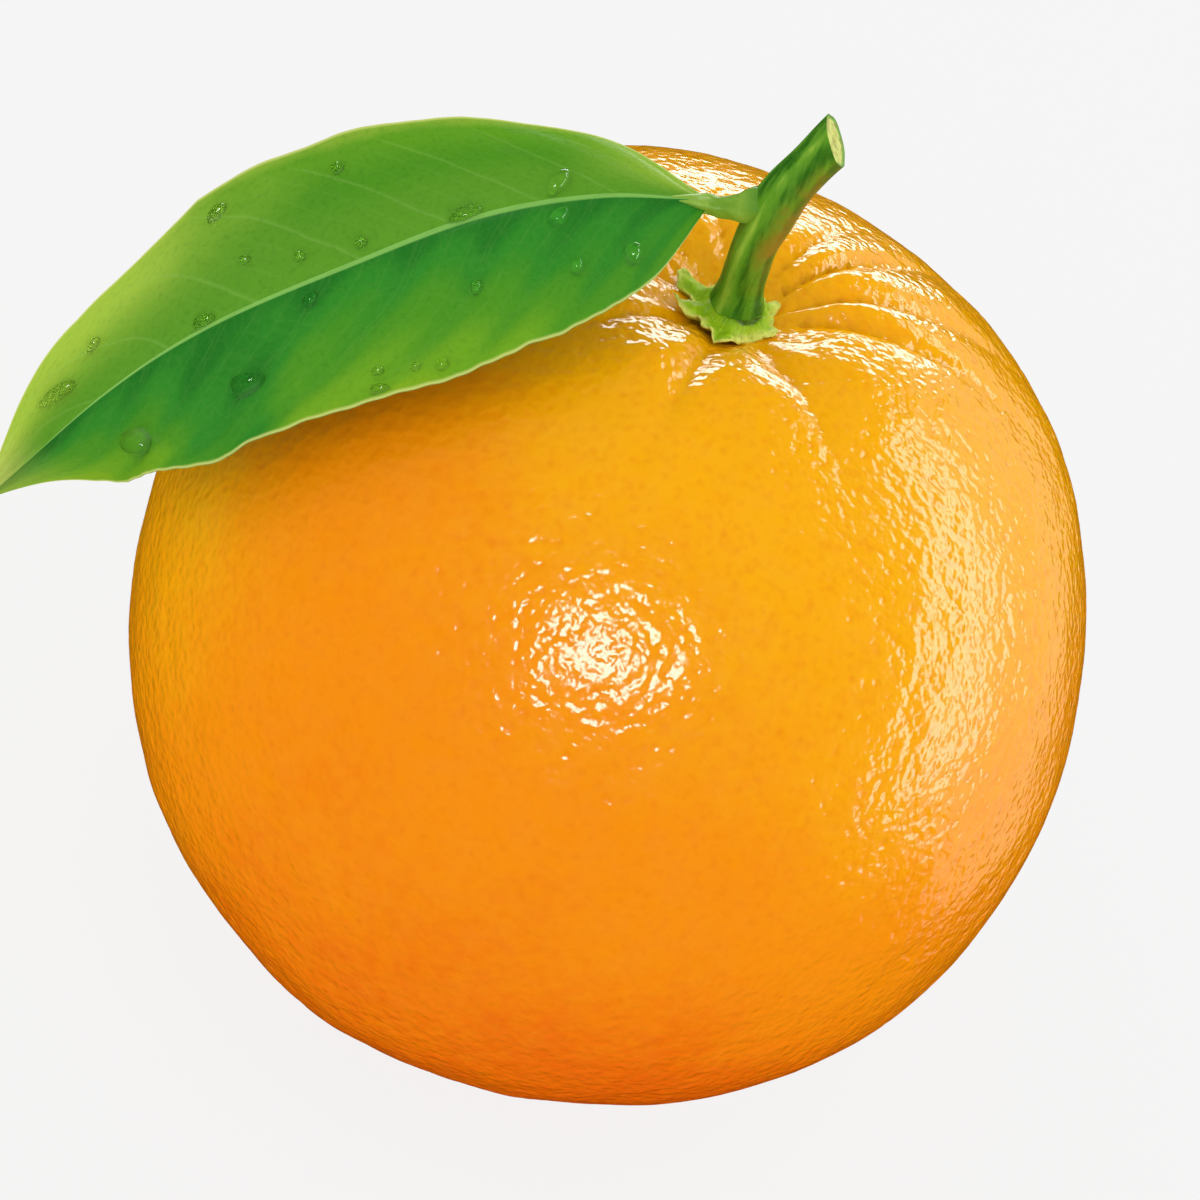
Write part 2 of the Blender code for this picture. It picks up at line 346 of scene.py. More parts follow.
class Graph:
    """One material's nodes, with a short way to add each kind."""

    MIX_FACTOR = 0
    MIX_FIRST = 6
    MIX_SECOND = 7
    MIX_RESULT = 2

    def __init__(self, name: str) -> None:
        """Starts an empty material.

        Args:
            name: The material's name.
        """
        self.material = bpy.data.materials.new(name)
        self.material.use_nodes = True
        self.tree = self.material.node_tree
        self.tree.nodes.clear()

    def node(
        self,
        kind: str,
        settings: Mapping[str, object] | None = None,
        inputs: Mapping[str | int, Value] | None = None,
        output: str | int = 0,
    ) -> Wire:
        """Adds one node.

        Args:
            kind: Its type, after "ShaderNode".
            settings: Its properties, set first; "stops" holds a ramp's places and colours.
            inputs: A value or a wire for each socket, by name or number.
            output: The socket that the wire comes from.

        Returns:
            The wire from the chosen output.
        """
        made = self.tree.nodes.new("ShaderNode" + kind)
        for name, setting in (settings or {}).items():
            if name == "stops":
                self._set_stops(made.color_ramp, setting)
            else:
                setattr(made, name, setting)
        for name, value in (inputs or {}).items():
            socket = made.inputs[name]
            if isinstance(value, Wire):
                self.tree.links.new(value.socket, socket)
            elif socket.type == "RGBA":
                socket.default_value = (*value, 1)
            else:
                socket.default_value = value
        return Wire(self, made.outputs[output]) if made.outputs else Wire(self, made.inputs[0])

    @staticmethod
    def _set_stops(ramp: bpy.types.ColorRamp, stops: Stops) -> None:
        """Gives a ramp its stops.

        Args:
            ramp: The ramp.
            stops: The place and colour of each stop.
        """
        ramp.interpolation = "EASE"
        while len(ramp.elements) < len(stops):
            ramp.elements.new(1)
        for element, (place, colour) in zip(ramp.elements, stops):
            element.position = place
            element.color = (*colour, 1)

    def math(self, operation: str, *values: Value) -> Wire:
        """A Math node on one, two or three values."""
        return self.node("Math", {"operation": operation}, dict(enumerate(values)))

    def mix(self, first: Value, second: Value, factor: Value, blend: str = "MIX") -> Wire:
        """Goes from the first colour to the second as the factor goes from 0 to 1.

        Args:
            first: The colour at 0.
            second: The colour at 1.
            factor: The share of the second.
            blend: How the two blend.

        Returns:
            The mixed colour.
        """
        settings = {"data_type": "RGBA", "blend_type": blend, "clamp_factor": True}
        inputs = {self.MIX_FACTOR: factor, self.MIX_FIRST: first, self.MIX_SECOND: second}
        return self.node("Mix", settings, inputs, self.MIX_RESULT)

    def ease(self, value: Value, span: Span, ends: Span = RISE) -> Wire:
        """Eases from the first end to the second while the value goes through the span."""
        limits = {"From Min": span[0], "From Max": span[1], "To Min": ends[0], "To Max": ends[1]}
        return self.node("MapRange", {"interpolation_type": "SMOOTHSTEP"}, {"Value": value, **limits})

    def ramp(self, value: Value, stops: Stops) -> Wire:
        """A colour for each value from 0 to 1."""
        return self.node("ValToRGB", {"stops": stops}, {"Fac": value}, "Color")

    def place(self) -> Wire:
        """Where the surface is, in metres."""
        return self.node("TexCoord", output="Object")

    def stretched(self, place: Wire, scale: Sequence[float]) -> Wire:
        """A place with each of its axes scaled."""
        return self.node("VectorMath", {"operation": "MULTIPLY"}, {0: place, 1: scale})

    def part(self, place: Wire, axis: str) -> Wire:
        """One coordinate, named X, Y or Z."""
        return self.node("SeparateXYZ", inputs={0: place}, output=axis)

    def join(self, x: Value, y: Value) -> Wire:
        """A place on the flat from two coordinates."""
        return self.node("CombineXYZ", inputs={"X": x, "Y": y})

    def mark(self, name: str) -> Wire:
        """The numbers that the mesh keeps under this name."""
        return self.node("Attribute", {"attribute_name": name}, output="Fac")

    def noise(self, place: Wire, clouds: "Clouds") -> Wire:
        """Cloudy variation about MEAN."""
        inputs = {"Scale": 1 / clouds.size, "Detail": clouds.detail, "Roughness": clouds.roughness}
        return self.node("TexNoise", inputs={"Vector": place, **inputs})

    def cells(self, place: Wire, size: float, feature: str = "F1") -> Wire:
        """The distance to the nearest cell's middle or, for DISTANCE_TO_EDGE, to its edge, in cells."""
        return self.node("TexVoronoi", {"feature": feature}, {"Vector": place, "Scale": 1 / size}, "Distance")

    def bump(self, height: Wire, distance: float) -> Wire:
        """A normal for a height from 0 to 1 that stands this far out."""
        return self.node("Bump", inputs={"Height": height, "Distance": distance, "Strength": 1.0})

    def finish(self, sockets: Mapping[str, Value]) -> bpy.types.Material:
        """Ends the graph in a Principled shader.

        Args:
            sockets: The shader's values and wires, by socket name.

        Returns:
            The material.
        """
        shader = self.node("BsdfPrincipled", {"subsurface_method": "RANDOM_WALK"}, sockets)
        self.node("OutputMaterial", inputs={"Surface": shader})
        return self.material


def shade(red: int, green: int, blue: int) -> Colour:
    """A display colour as the linear one that shaders take, by the sRGB curve."""
    steps = (level / 255 for level in (red, green, blue))
    return tuple(step / 12.92 if step <= 0.04045 else ((step + 0.055) / 1.055) ** 2.4 for step in steps)


# ---------------------------------------------------------------- finishes


@dataclass(frozen=True)
class Clouds:
    """Cloudy variation: how large its lumps are, its finer layers, and how strong those are."""

    size: float
    detail: float = 2.0
    roughness: float = 0.5


@dataclass(frozen=True)
class InnerLight:
    """Light that sinks into a skin: its share, its reach in red, green and blue, and their scale."""

    share: float
    reach: Colour
    depth: float

    def sockets(self) -> dict[str, Value]:
        """The shader's values for it."""
        return {
            "Subsurface Weight": self.share,
            "Subsurface Radius": self.reach,
            "Subsurface Scale": self.depth,
        }


@dataclass(frozen=True)
class ShadePatch:
    """A patch of painted shade, a deeper orange: its middle, how far it reaches, and how much deeper it makes
    the orange.
    """

    middle: Place
    reach: float
    depth: float


@dataclass(frozen=True)
class PeelFinish:
    """Waxy orange peel: fine grains and oil-gland pits, mottled colour, painted light and shade, and light
    that sinks in a little.
    """

    # deep, ripe and golden: the peel's orange in painted shade low down, in between, and in painted light at
    # the top
    deep: Colour = shade(238, 103, 0)
    ripe: Colour = shade(247, 144, 0)
    golden: Colour = shade(250, 175, 0)
    ripe_at: float = 0.42
    golden_at: float = 0.98
    gland: Colour = shade(230, 110, 0)
    scar: Colour = shade(150, 110, 50)
    grain: Clouds = Clouds(0.74 * MM, 0.8)
    grain_valley: Span = (0.5, 0.25)
    swell: Clouds = Clouds(1.7 * MM, 1)
    swell_height: float = 0.7
    blotch: Clouds = Clouds(11 * MM, 3)
    blotch_share: float = 0.25
    mottle: Clouds = Clouds(1.3 * MM)
    mottle_share: float = 0.2
    gland_spacing: float = 1.15 * MM
    gland_edge: Span = (0.04, 0.42)
    gland_tint: float = 0.14
    gland_height: float = 0.16
    fruit_height: float = 66 * MM
    height_offset: float = 0.03
    # Painted shade: left of the front, a painted shadow under the leaf, and low on the front.
    shade_patches: tuple[ShadePatch, ...] = (
        ShadePatch((-12 * MM, -32 * MM, 50 * MM), 25 * MM, 0.30),
        ShadePatch((-25 * MM, -16 * MM, 62 * MM), 12 * MM, 0.40),
        ShadePatch((14 * MM, -32 * MM, 26 * MM), 18 * MM, 0.22),
    )
    shade_patch_fade: float = 1.7
    # Painted light: yellower towards the -X side.
    painted_light_side: Span = (-16 * MM, -34 * MM)
    painted_light_side_share: float = 0.31
    scar_height: Span = (2 * MM, 0.2 * MM)
    scar_reach: Span = (3.2 * MM, 1.6 * MM)
    scar_tint: float = 0.85
    top: Span = (66 * MM, 76 * MM)
    top_coarseness: Span = (1.0, 1.9)
    relief_depth: float = 0.15 * MM
    roughness: float = 0.15
    roughness_sway: float = 0.12
    index: float = 1.5
    gloss: float = 0.6
    inner_light: InnerLight = InnerLight(0.22, (1.0, 0.32, 0.06), 1.4 * MM)

    def make(self) -> bpy.types.Material:
        """Builds the material.

        Returns:
            The material.
        """
        graph = Graph("orange_peel")
        place = graph.place()
        x, y, z = (graph.part(place, axis) for axis in "XYZ")
        grain = graph.noise(place, self.grain)
        swell = graph.noise(place, self.swell) - MEAN
        pit = graph.ease(graph.cells(place, self.gland_spacing), self.gland_edge, FALL)

        # Patches of painted shade, deeper orange.
        painted_shade: Value = 0.0
        for patch in self.shade_patches:
            away = graph.node("VectorMath", {"operation": "DISTANCE"}, {0: place, 1: patch.middle}, "Value")
            painted_shade = graph.ease(away / patch.reach, (0.0, self.shade_patch_fade), (patch.depth, 0.0)) + painted_shade
        # Painted light, yellower towards the -X side.
        side = graph.ease(x, self.painted_light_side, (0.0, self.painted_light_side_share))
        blotch = (graph.noise(place, self.blotch) - MEAN) * self.blotch_share
        mottle = (graph.noise(place, self.mottle) - MEAN) * self.mottle_share
        # Painted light and shade by height, deeper and redder low down and yellower at the top, with the
        # painted shade patches and the painted light on the -X side; the blotches and the mottling are the
        # peel's own colour.
        painted_light_and_tone = z / self.fruit_height - self.height_offset - painted_shade + side + blotch + mottle
        stops = ((0.0, self.deep), (self.ripe_at, self.ripe), (self.golden_at, self.golden))
        body = graph.ramp(painted_light_and_tone, stops)
        dots = pit * self.gland_tint + graph.ease(grain, self.grain_valley, (0.0, self.gland_tint))
        dotted = graph.mix(body, self.gland, dots)
        reach = graph.math("SQRT", x * x + y * y)
        under = graph.ease(z, self.scar_height) * graph.ease(reach, self.scar_reach)

        coarse = graph.ease(z, self.top, self.top_coarseness)
        relief = MEAN + (grain - MEAN) * coarse + swell * self.swell_height - pit * self.gland_height
        return graph.finish(
            {
                "Base Color": graph.mix(dotted, self.scar, under * self.scar_tint),
                "Roughness": self.roughness + swell * self.roughness_sway,
                "Normal": graph.bump(relief, self.relief_depth),
                "IOR": self.index,
                "Specular IOR Level": self.gloss,
                **self.inner_light.sockets(),
            }
        )


@dataclass(frozen=True)
class CalyxFinish:
    """The calyx's dry green skin: yellow-green with a cream rim, brown specks, and creases darkened with
    painted shade.
    """

    inner: Colour = shade(122, 172, 8)
    middle: Colour = shade(164, 204, 22)
    rim: Colour = shade(226, 234, 106)
    zones: tuple[float, ...] = (0.25, 0.75, 1.0)
    speck: Colour = shade(88, 58, 22)
    # crease: the darker green of painted shade in the fibres' low creases
    crease: Colour = shade(60, 110, 8)
    fibre: Clouds = Clouds(0.55 * MM, 3, 0.6)
    cloud: Clouds = Clouds(1.8 * MM)
    cloud_share: float = 0.5
    cloud_height: float = 0.5
    fleck: Clouds = Clouds(0.5 * MM, 1)
    fleck_level: Span = (0.60, 0.70)
    fleck_place: Span = (0.45, 0.8)
    fleck_tint: float = 0.2
    torn_tint: float = 0.22
    crease_level: Span = (0.55, 0.35)
    crease_shade_tint: float = 0.22
    relief_depth: float = 0.10 * MM
    roughness: float = 0.5
    roughness_sway: float = 0.3
    gloss: float = 0.15
    inner_light: InnerLight = InnerLight(0.1, (0.6, 1.0, 0.2), 0.5 * MM)

    def make(self) -> bpy.types.Material:
        """Builds the material.

        Returns:
            The material.
        """
        graph = Graph("orange_calyx")
        place = graph.place()
        out = graph.mark("calyx_out")
        fibre = graph.noise(place, self.fibre)
        cloud = graph.noise(place, self.cloud)
        stops = tuple(zip(self.zones, (self.inner, self.middle, self.rim)))
        body = graph.ramp(out + (cloud - MEAN) * self.cloud_share, stops)
        fleck = graph.ease(graph.noise(place, self.fleck), self.fleck_level)
        flecks = fleck * graph.ease(out, self.fleck_place)
        brown = flecks * self.fleck_tint + graph.mark("calyx_torn") * self.torn_tint
        browned = graph.mix(body, self.speck, graph.math("MINIMUM", brown, 1.0))
        # Painted shade in the fibres' low creases.
        crease_shade = graph.ease(fibre, self.crease_level, (0.0, self.crease_shade_tint))
        return graph.finish(
            {
                "Base Color": graph.mix(browned, self.crease, crease_shade),
                "Roughness": self.roughness + (fibre - MEAN) * self.roughness_sway,
                "Normal": graph.bump(fibre + cloud * self.cloud_height, self.relief_depth),
                "Specular IOR Level": self.gloss,
                **self.inner_light.sockets(),
            }
        )


@dataclass(frozen=True)
class StemFinish:
    """Young green wood: pale ribs and deep green between them, partly painted highlight and shade, a painted
    highlight strip down one side, a brown blush, and a pale cut with its pith.
    """

    # valley, flank and crest: the bark's green between the ribs, on their flanks and on their crests, partly
    # its own colour and partly painted shade and highlight.
    valley: Colour = shade(44, 106, 14)
    flank: Colour = shade(92, 150, 30)
    crest: Colour = shade(152, 192, 62)
    bark_zones: tuple[float, ...] = (0.1, 0.45, 0.95)
    blush: Colour = shade(146, 112, 26)
    wood: Colour = shade(206, 212, 112)
    ring: Colour = shade(120, 170, 60)
    cut_zones: tuple[float, ...] = (0.0, 0.78, 0.93)
    pith: Colour = shade(150, 130, 70)
    rib_share: float = 0.30
    highlight_strip_share: float = 0.42
    base_tone: float = 0.1
    streak: Clouds = Clouds(0.5 * MM, 3, 0.6)
    streak_stretch: Place = (1, 1, 0.16)
    streak_share: float = 0.8
    cloud: Clouds = Clouds(2.4 * MM)
    cloud_share: float = 0.35
    blush_level: Span = (0.35, 0.6)
    blush_tint: Span = (0.2, 0.8)
    fleck: Clouds = Clouds(0.5 * MM)
    fleck_level: Span = (0.46, 0.66)
    fleck_shift: float = 0.04
    fleck_tint: float = 0.45
    fleck_height: float = 0.3
    pith_edge: Span = (0.34, 0.16)
    pith_tint: float = 0.35
    relief_depth: float = 0.08 * MM
    roughness: float = 0.36
    roughness_sway: float = 0.2
    cut_roughness: float = 0.25
    gloss: float = 0.18
    inner_light: InnerLight = InnerLight(0.08, (0.5, 1.0, 0.2), 0.6 * MM)

    def make(self) -> bpy.types.Material:
        """Builds the material.

        Returns:
            The material.
        """
        graph = Graph("orange_stem")
        place = graph.place()
        cut = graph.mark("stem_cut")
        cut_reach = graph.mark("stem_cut_reach")
        streak = graph.noise(graph.stretched(place, self.streak_stretch), self.streak)
        cloud = graph.noise(place, self.cloud)
        # Paler on the rib crests, partly painted highlight, and paler still along the painted highlight
        # strip.
        ribs_and_highlight = graph.mark("stem_rib") * self.rib_share + graph.mark("stem_sun") * self.highlight_strip_share
        streaked = ribs_and_highlight + (streak - MEAN) * self.streak_share
        tone = streaked + (cloud - MEAN) * self.cloud_share + self.base_tone
        bark = graph.ramp(tone, tuple(zip(self.bark_zones, (self.valley, self.flank, self.crest))))
        blush = graph.mark("stem_blush") * graph.ease(cloud, self.blush_level, self.blush_tint)
        fleck = graph.ease(graph.noise(place, self.fleck), self.fleck_level)
        cut_stops = tuple(zip(self.cut_zones, (self.wood, self.wood, self.ring)))
        face = graph.ramp(cut_reach + fleck * self.fleck_shift, cut_stops)
        pith = graph.ease(cut_reach, self.pith_edge) * self.pith_tint + fleck * self.fleck_tint
        pithy = graph.mix(face, self.pith, graph.math("MINIMUM", pith, 1.0))
        roughness = self.roughness + (streak - MEAN) * self.roughness_sway + cut * self.cut_roughness
        return graph.finish(
            {
                "Base Color": graph.mix(graph.mix(bark, self.blush, blush), pithy, cut),
                "Roughness": roughness,
                "Normal": graph.bump(streak + fleck * self.fleck_height, self.relief_depth),
                "Specular IOR Level": self.gloss,
                **self.inner_light.sockets(),
            }
        )


@dataclass(frozen=True)
class StalkFinish:
    """The leaf stalk's smooth green skin, paler on its swollen joints by the blade, partly with painted
    highlight, and deeper where it leaves the stem.
    """

    body: Colour = shade(114, 160, 38)
    pale: Colour = shade(152, 190, 70)
    stem_end: Colour = shade(84, 142, 26)
    streak: Clouds = Clouds(0.45 * MM, 3, 0.6)
    streak_stretch: Place = (0.3, 1, 1)
    streak_share: float = 1.1
    joint_share: float = 0.5
    base_tone: float = 0.1
    stem_end_tint: Span = (0.5, 0.7)
    relief_depth: float = 0.06 * MM
    roughness: float = 0.36
    roughness_sway: float = 0.2
    gloss: float = 0.3
    inner_light: InnerLight = InnerLight(0.08, (0.5, 1.0, 0.2), 0.6 * MM)

    def make(self) -> bpy.types.Material:
        """Builds the material.

        Returns:
            The material.
        """
        graph = Graph("orange_leaf_stalk")
        streak = graph.noise(graph.stretched(graph.place(), self.streak_stretch), self.streak)
        # Paler on the swollen joints: partly the skin's own colour, partly painted highlight.
        joint = graph.mark("stalk_joint") * self.joint_share
        skin = graph.mix(self.body, self.pale, joint + (streak - MEAN) * self.streak_share + self.base_tone)
        least, more = self.stem_end_tint
        colour = graph.mix(skin, self.stem_end, graph.mark("stalk_stem_end") * (least + streak * more))
        return graph.finish(
            {
                "Base Color": colour,
                "Roughness": self.roughness + (streak - MEAN) * self.roughness_sway,
                "Normal": graph.bump(streak, self.relief_depth),
                "Specular IOR Level": self.gloss,
                **self.inner_light.sockets(),
            }
        )


@dataclass(frozen=True)
class Veins:
    """The blade's side veins: how many, how they lean and bend, and how far the back half's are shifted."""

    count: float = 8.5
    lean: float = 0.17
    bend: float = 0.05
    back_shift: float = 0.37

    def root(self, along: Union[Array, Wire], reach: Union[Array, Wire]) -> Union[Array, Wire]:
        """How far along the midrib the vein that runs through a point would start."""
        return along - reach * self.lean - reach * reach * self.bend


@dataclass(frozen=True)
class BladeFinish:
    """The leaf blade: two halves in different greens of painted light and shade, a pale midrib and veins, and
    a yellow margin.
    """

    veins: Veins = Veins()
    # The front half's greens from the midrib out: darkest by the midrib with painted shade, paler towards the
    # edge.
    front: Stops = (
        (0.0, shade(32, 118, 30)),
        (0.22, shade(48, 136, 34)),
        (0.5, shade(74, 146, 28)),
        (0.85, shade(108, 164, 26)),
        (0.98, shade(124, 170, 24)),
    )
    # The back half's greens, paler than the front half's: painted light.
    back: Stops = (
        (0.0, shade(90, 152, 34)),
        (0.25, shade(88, 148, 32)),
        (0.55, shade(76, 143, 24)),
        (0.86, shade(92, 154, 24)),
        (0.97, shade(128, 170, 44)),
    )
    front_light: tuple[Span, ...] = (
        (0.0, 0.5),
        (0.18, 0.45),
        (0.32, 0.8),
        (0.47, 1.0),
        (0.57, 0.85),
        (0.62, 0.3),
        (0.69, 0.35),
        (0.78, 0.85),
        (0.9, 1.0),
    )
    crease: Span = (-0.012, 0.012)
    cloud: Clouds = Clouds(9, 3)  # lumps in mm, as the blade lies flat
    light_sway: float = 0.06
    front_sway: float = 0.25
    back_sway: float = 0.2
    vein_sway: float = 0.03
    sunlit: Colour = shade(164, 196, 62)
    sunlit_along: Span = (0.5, 0.84)
    sunlit_reach: Span = (0.10, 0.85)
    sunlit_sway: float = 0.3
    sunlit_tint: float = 0.95
    stalk_end_along: Span = (0.24, 0.02)
    stalk_end_reach: Span = (0.1, 0.6)
    stalk_end_tint: float = 0.7
    tip: Colour = shade(192, 208, 100)
    tip_along: Span = (0.9, 1.0)
    tip_tint: Span = (0.35, 0.6)
    vein: Colour = shade(150, 195, 95)
    vein_edge: Span = (0.0, 0.075)
    vein_tint: Span = (0.04, 0.13)
    vein_height: float = 0.3
    # band_edge and band_tint: painted shade along the sunken veins of the front half.
    band_edge: Span = (0.0, 0.75)
    band_tint: float = 0.14
    fine_vein_rows: int = 3
    fine_vein_shift: float = 0.21
    fine_vein_edge: Span = (0.0, 0.16)
    fine_vein_tint: float = 0.04
    net_size: float = 1.15  # mm, as the blade lies flat
    net_edge: Span = (0.0, 0.09)
    net_tint: float = 0.03
    net_height: float = 0.18
    veined_reach: Span = (0.96, 0.75)
    speckle: Clouds = Clouds(0.55, 3, 0.65)
    speck: Colour = shade(20, 84, 20)
    speck_level: Span = (0.52, 0.3)
    speck_tint: float = 0.16
    speck_height: float = 0.22
    midrib: Colour = shade(132, 190, 88)
    midrib_width: Span = (0.024, 0.010)
    midrib_edge: Span = (0.55, 1.1)
    midrib_tint: float = 0.9
    margin: Colour = shade(206, 214, 120)
    margin_reach: Span = (0.965, 0.995)
    margin_tint: float = 0.8
    under: Colour = shade(120, 165, 82)
    under_tints: tuple[float, float, float] = (0.5, 0.25, 0.6)  # of the veins, the net and the midrib
    relief_depth: float = 0.05 * MM
    roughness: float = 0.42
    roughness_sway: float = 0.15
    under_roughness: float = 0.2
    gloss: float = 0.08

    def make(self) -> bpy.types.Material:
        """Builds the material.

        Returns:
            The material.
        """
        graph = Graph("orange_leaf_blade")
        along = graph.mark("blade_along")
        aside = graph.mark("blade_aside")
        under = graph.mark("blade_under")
        reach = abs(aside)
        back = graph.ease(aside, self.crease)
        flat = graph.join(along * (BLADE_LENGTH / MM), aside * (BLADE_HALF_WIDTH / MM))
        cloud = graph.noise(flat, self.cloud) - MEAN
        speckle = graph.noise(flat, self.speckle)

        run = self.veins.root(along, reach) + cloud * self.vein_sway
        off_vein = off_middle(graph.math("FRACT", run * self.veins.count + back * self.veins.back_shift))
        line = graph.ease(off_vein, self.vein_edge, FALL)
        band = graph.ease(off_vein, self.band_edge, FALL)
        fine_run = run * self.veins.count * self.fine_vein_rows + self.fine_vein_shift
        fine = graph.ease(off_middle(graph.math("FRACT", fine_run)), self.fine_vein_edge, FALL)
        net = graph.ease(graph.cells(flat, self.net_size, "DISTANCE_TO_EDGE"), self.net_edge, FALL)
        inner = graph.ease(reach, self.veined_reach)
        rib_width = graph.ease(along, RISE, self.midrib_width)
        rib = graph.ease(reach / rib_width, self.midrib_edge, FALL)

        body = self._halves(graph, along, reach, cloud, band, back)
        line_tint, back_line_tint = self.vein_tint
        body = graph.mix(body, self.vein, line * inner * (line_tint + back * back_line_tint))
        body = graph.mix(body, self.vein, fine * inner * self.fine_vein_tint + net * inner * self.net_tint)
        body = graph.mix(body, self.speck, graph.ease(speckle, self.speck_level, (0.0, self.speck_tint)))
        body = graph.mix(body, self.midrib, rib * self.midrib_tint)
        body = graph.mix(body, self.margin, graph.ease(reach, self.margin_reach) * self.margin_tint)
        line_under, net_under, rib_under = self.under_tints
        lower = graph.mix(self.under, self.vein, line * line_under + net * net_under + rib * rib_under)
        relief = MEAN - net * self.net_height - line * inner * self.vein_height + speckle * self.speck_height
        upper_roughness = self.roughness + (speckle - MEAN) * self.roughness_sway
        return graph.finish(
            {
                "Base Color": graph.mix(body, lower, under),
                "Roughness": upper_roughness + under * self.under_roughness,
                "Normal": graph.bump(relief, self.relief_depth),
                "Specular IOR Level": self.gloss,
            }
        )

    def _halves(self, graph: Graph, along: Wire, reach: Wire, cloud: Wire, band: Wire, back: Wire) -> Wire:
        """The upper face's two greens with their painted light and shade, lit towards the tip and the stalk.

        Args:
            graph: The blade's graph.
            along: From 0 at the stalk to 1 at the tip.
            reach: From 0 at the midrib to 1 at the edge.
            cloud: Cloudy variation about 0.
            band: 1 along a vein, fading to 0 half way to the next.
            back: 1 on the back half and 0 on the front half.

        Returns:
            The colour.
        """
        zones = tuple((place, (level, level, level)) for place, level in self.front_light)
        light = graph.ramp(along + cloud * self.light_sway, zones)
        # Darker along the sunken veins and paler on the swellings between them: painted shade and light.
        tone = reach * light + cloud * self.front_sway - (band - MEAN) * self.band_tint
        back_body = graph.ramp(reach + cloud * self.back_sway, self.back)
        body = graph.mix(graph.ramp(tone, self.front), back_body, back)
        lit_along = graph.ease(along + cloud * self.sunlit_sway, self.sunlit_along)
        lit = lit_along * graph.ease(reach, self.sunlit_reach) * back
        body = graph.mix(body, self.sunlit, lit * self.sunlit_tint)
        stalk_end = graph.ease(along, self.stalk_end_along) * graph.ease(reach, self.stalk_end_reach) * back
        body = graph.mix(body, self.sunlit, stalk_end * self.stalk_end_tint)
        tip_tint, back_tip_tint = self.tip_tint
        tip = graph.ease(along, self.tip_along) * (tip_tint + back * back_tip_tint)
        return graph.mix(body, self.tip, tip)


@dataclass(frozen=True)
class WaterFinish:
    """Clear water, a little darker on the side away from the light."""

    index: float = 1.5
    roughness: float = 0.02
    clear: Colour = shade(255, 255, 255)
    shaded: Colour = shade(206, 226, 196)
    shaded_side: Span = (0.1, 0.85)

    def make(self) -> bpy.types.Material:
        """Builds the material.

        Returns:
            The material.
        """
        graph = Graph("orange_water")
        away = graph.ease(graph.mark("drop_shade"), self.shaded_side)
        return graph.finish(
            {
                "Base Color": graph.mix(self.clear, self.shaded, away),
                "Roughness": self.roughness,
                "IOR": self.index,
                "Transmission Weight": 1.0,
            }
        )


@dataclass(frozen=True)
class FloorFinish:
    """A pale floor that glows a little, so that it stays even and takes only a faint shadow."""

    glow: float = 0.85
    body: Colour = (0.06, 0.06, 0.06)

    def make(self) -> bpy.types.Material:
        """Builds the material.

        Returns:
            The material.
        """
        sockets = {
            "Base Color": self.body,
            "Roughness": 1.0,
            "Specular IOR Level": 0.0,
            "Emission Color": (1.0, 1.0, 1.0),
            "Emission Strength": self.glow,
        }
        return Graph("studio_floor").finish(sockets)


# ---------------------------------------------------------------- fruit


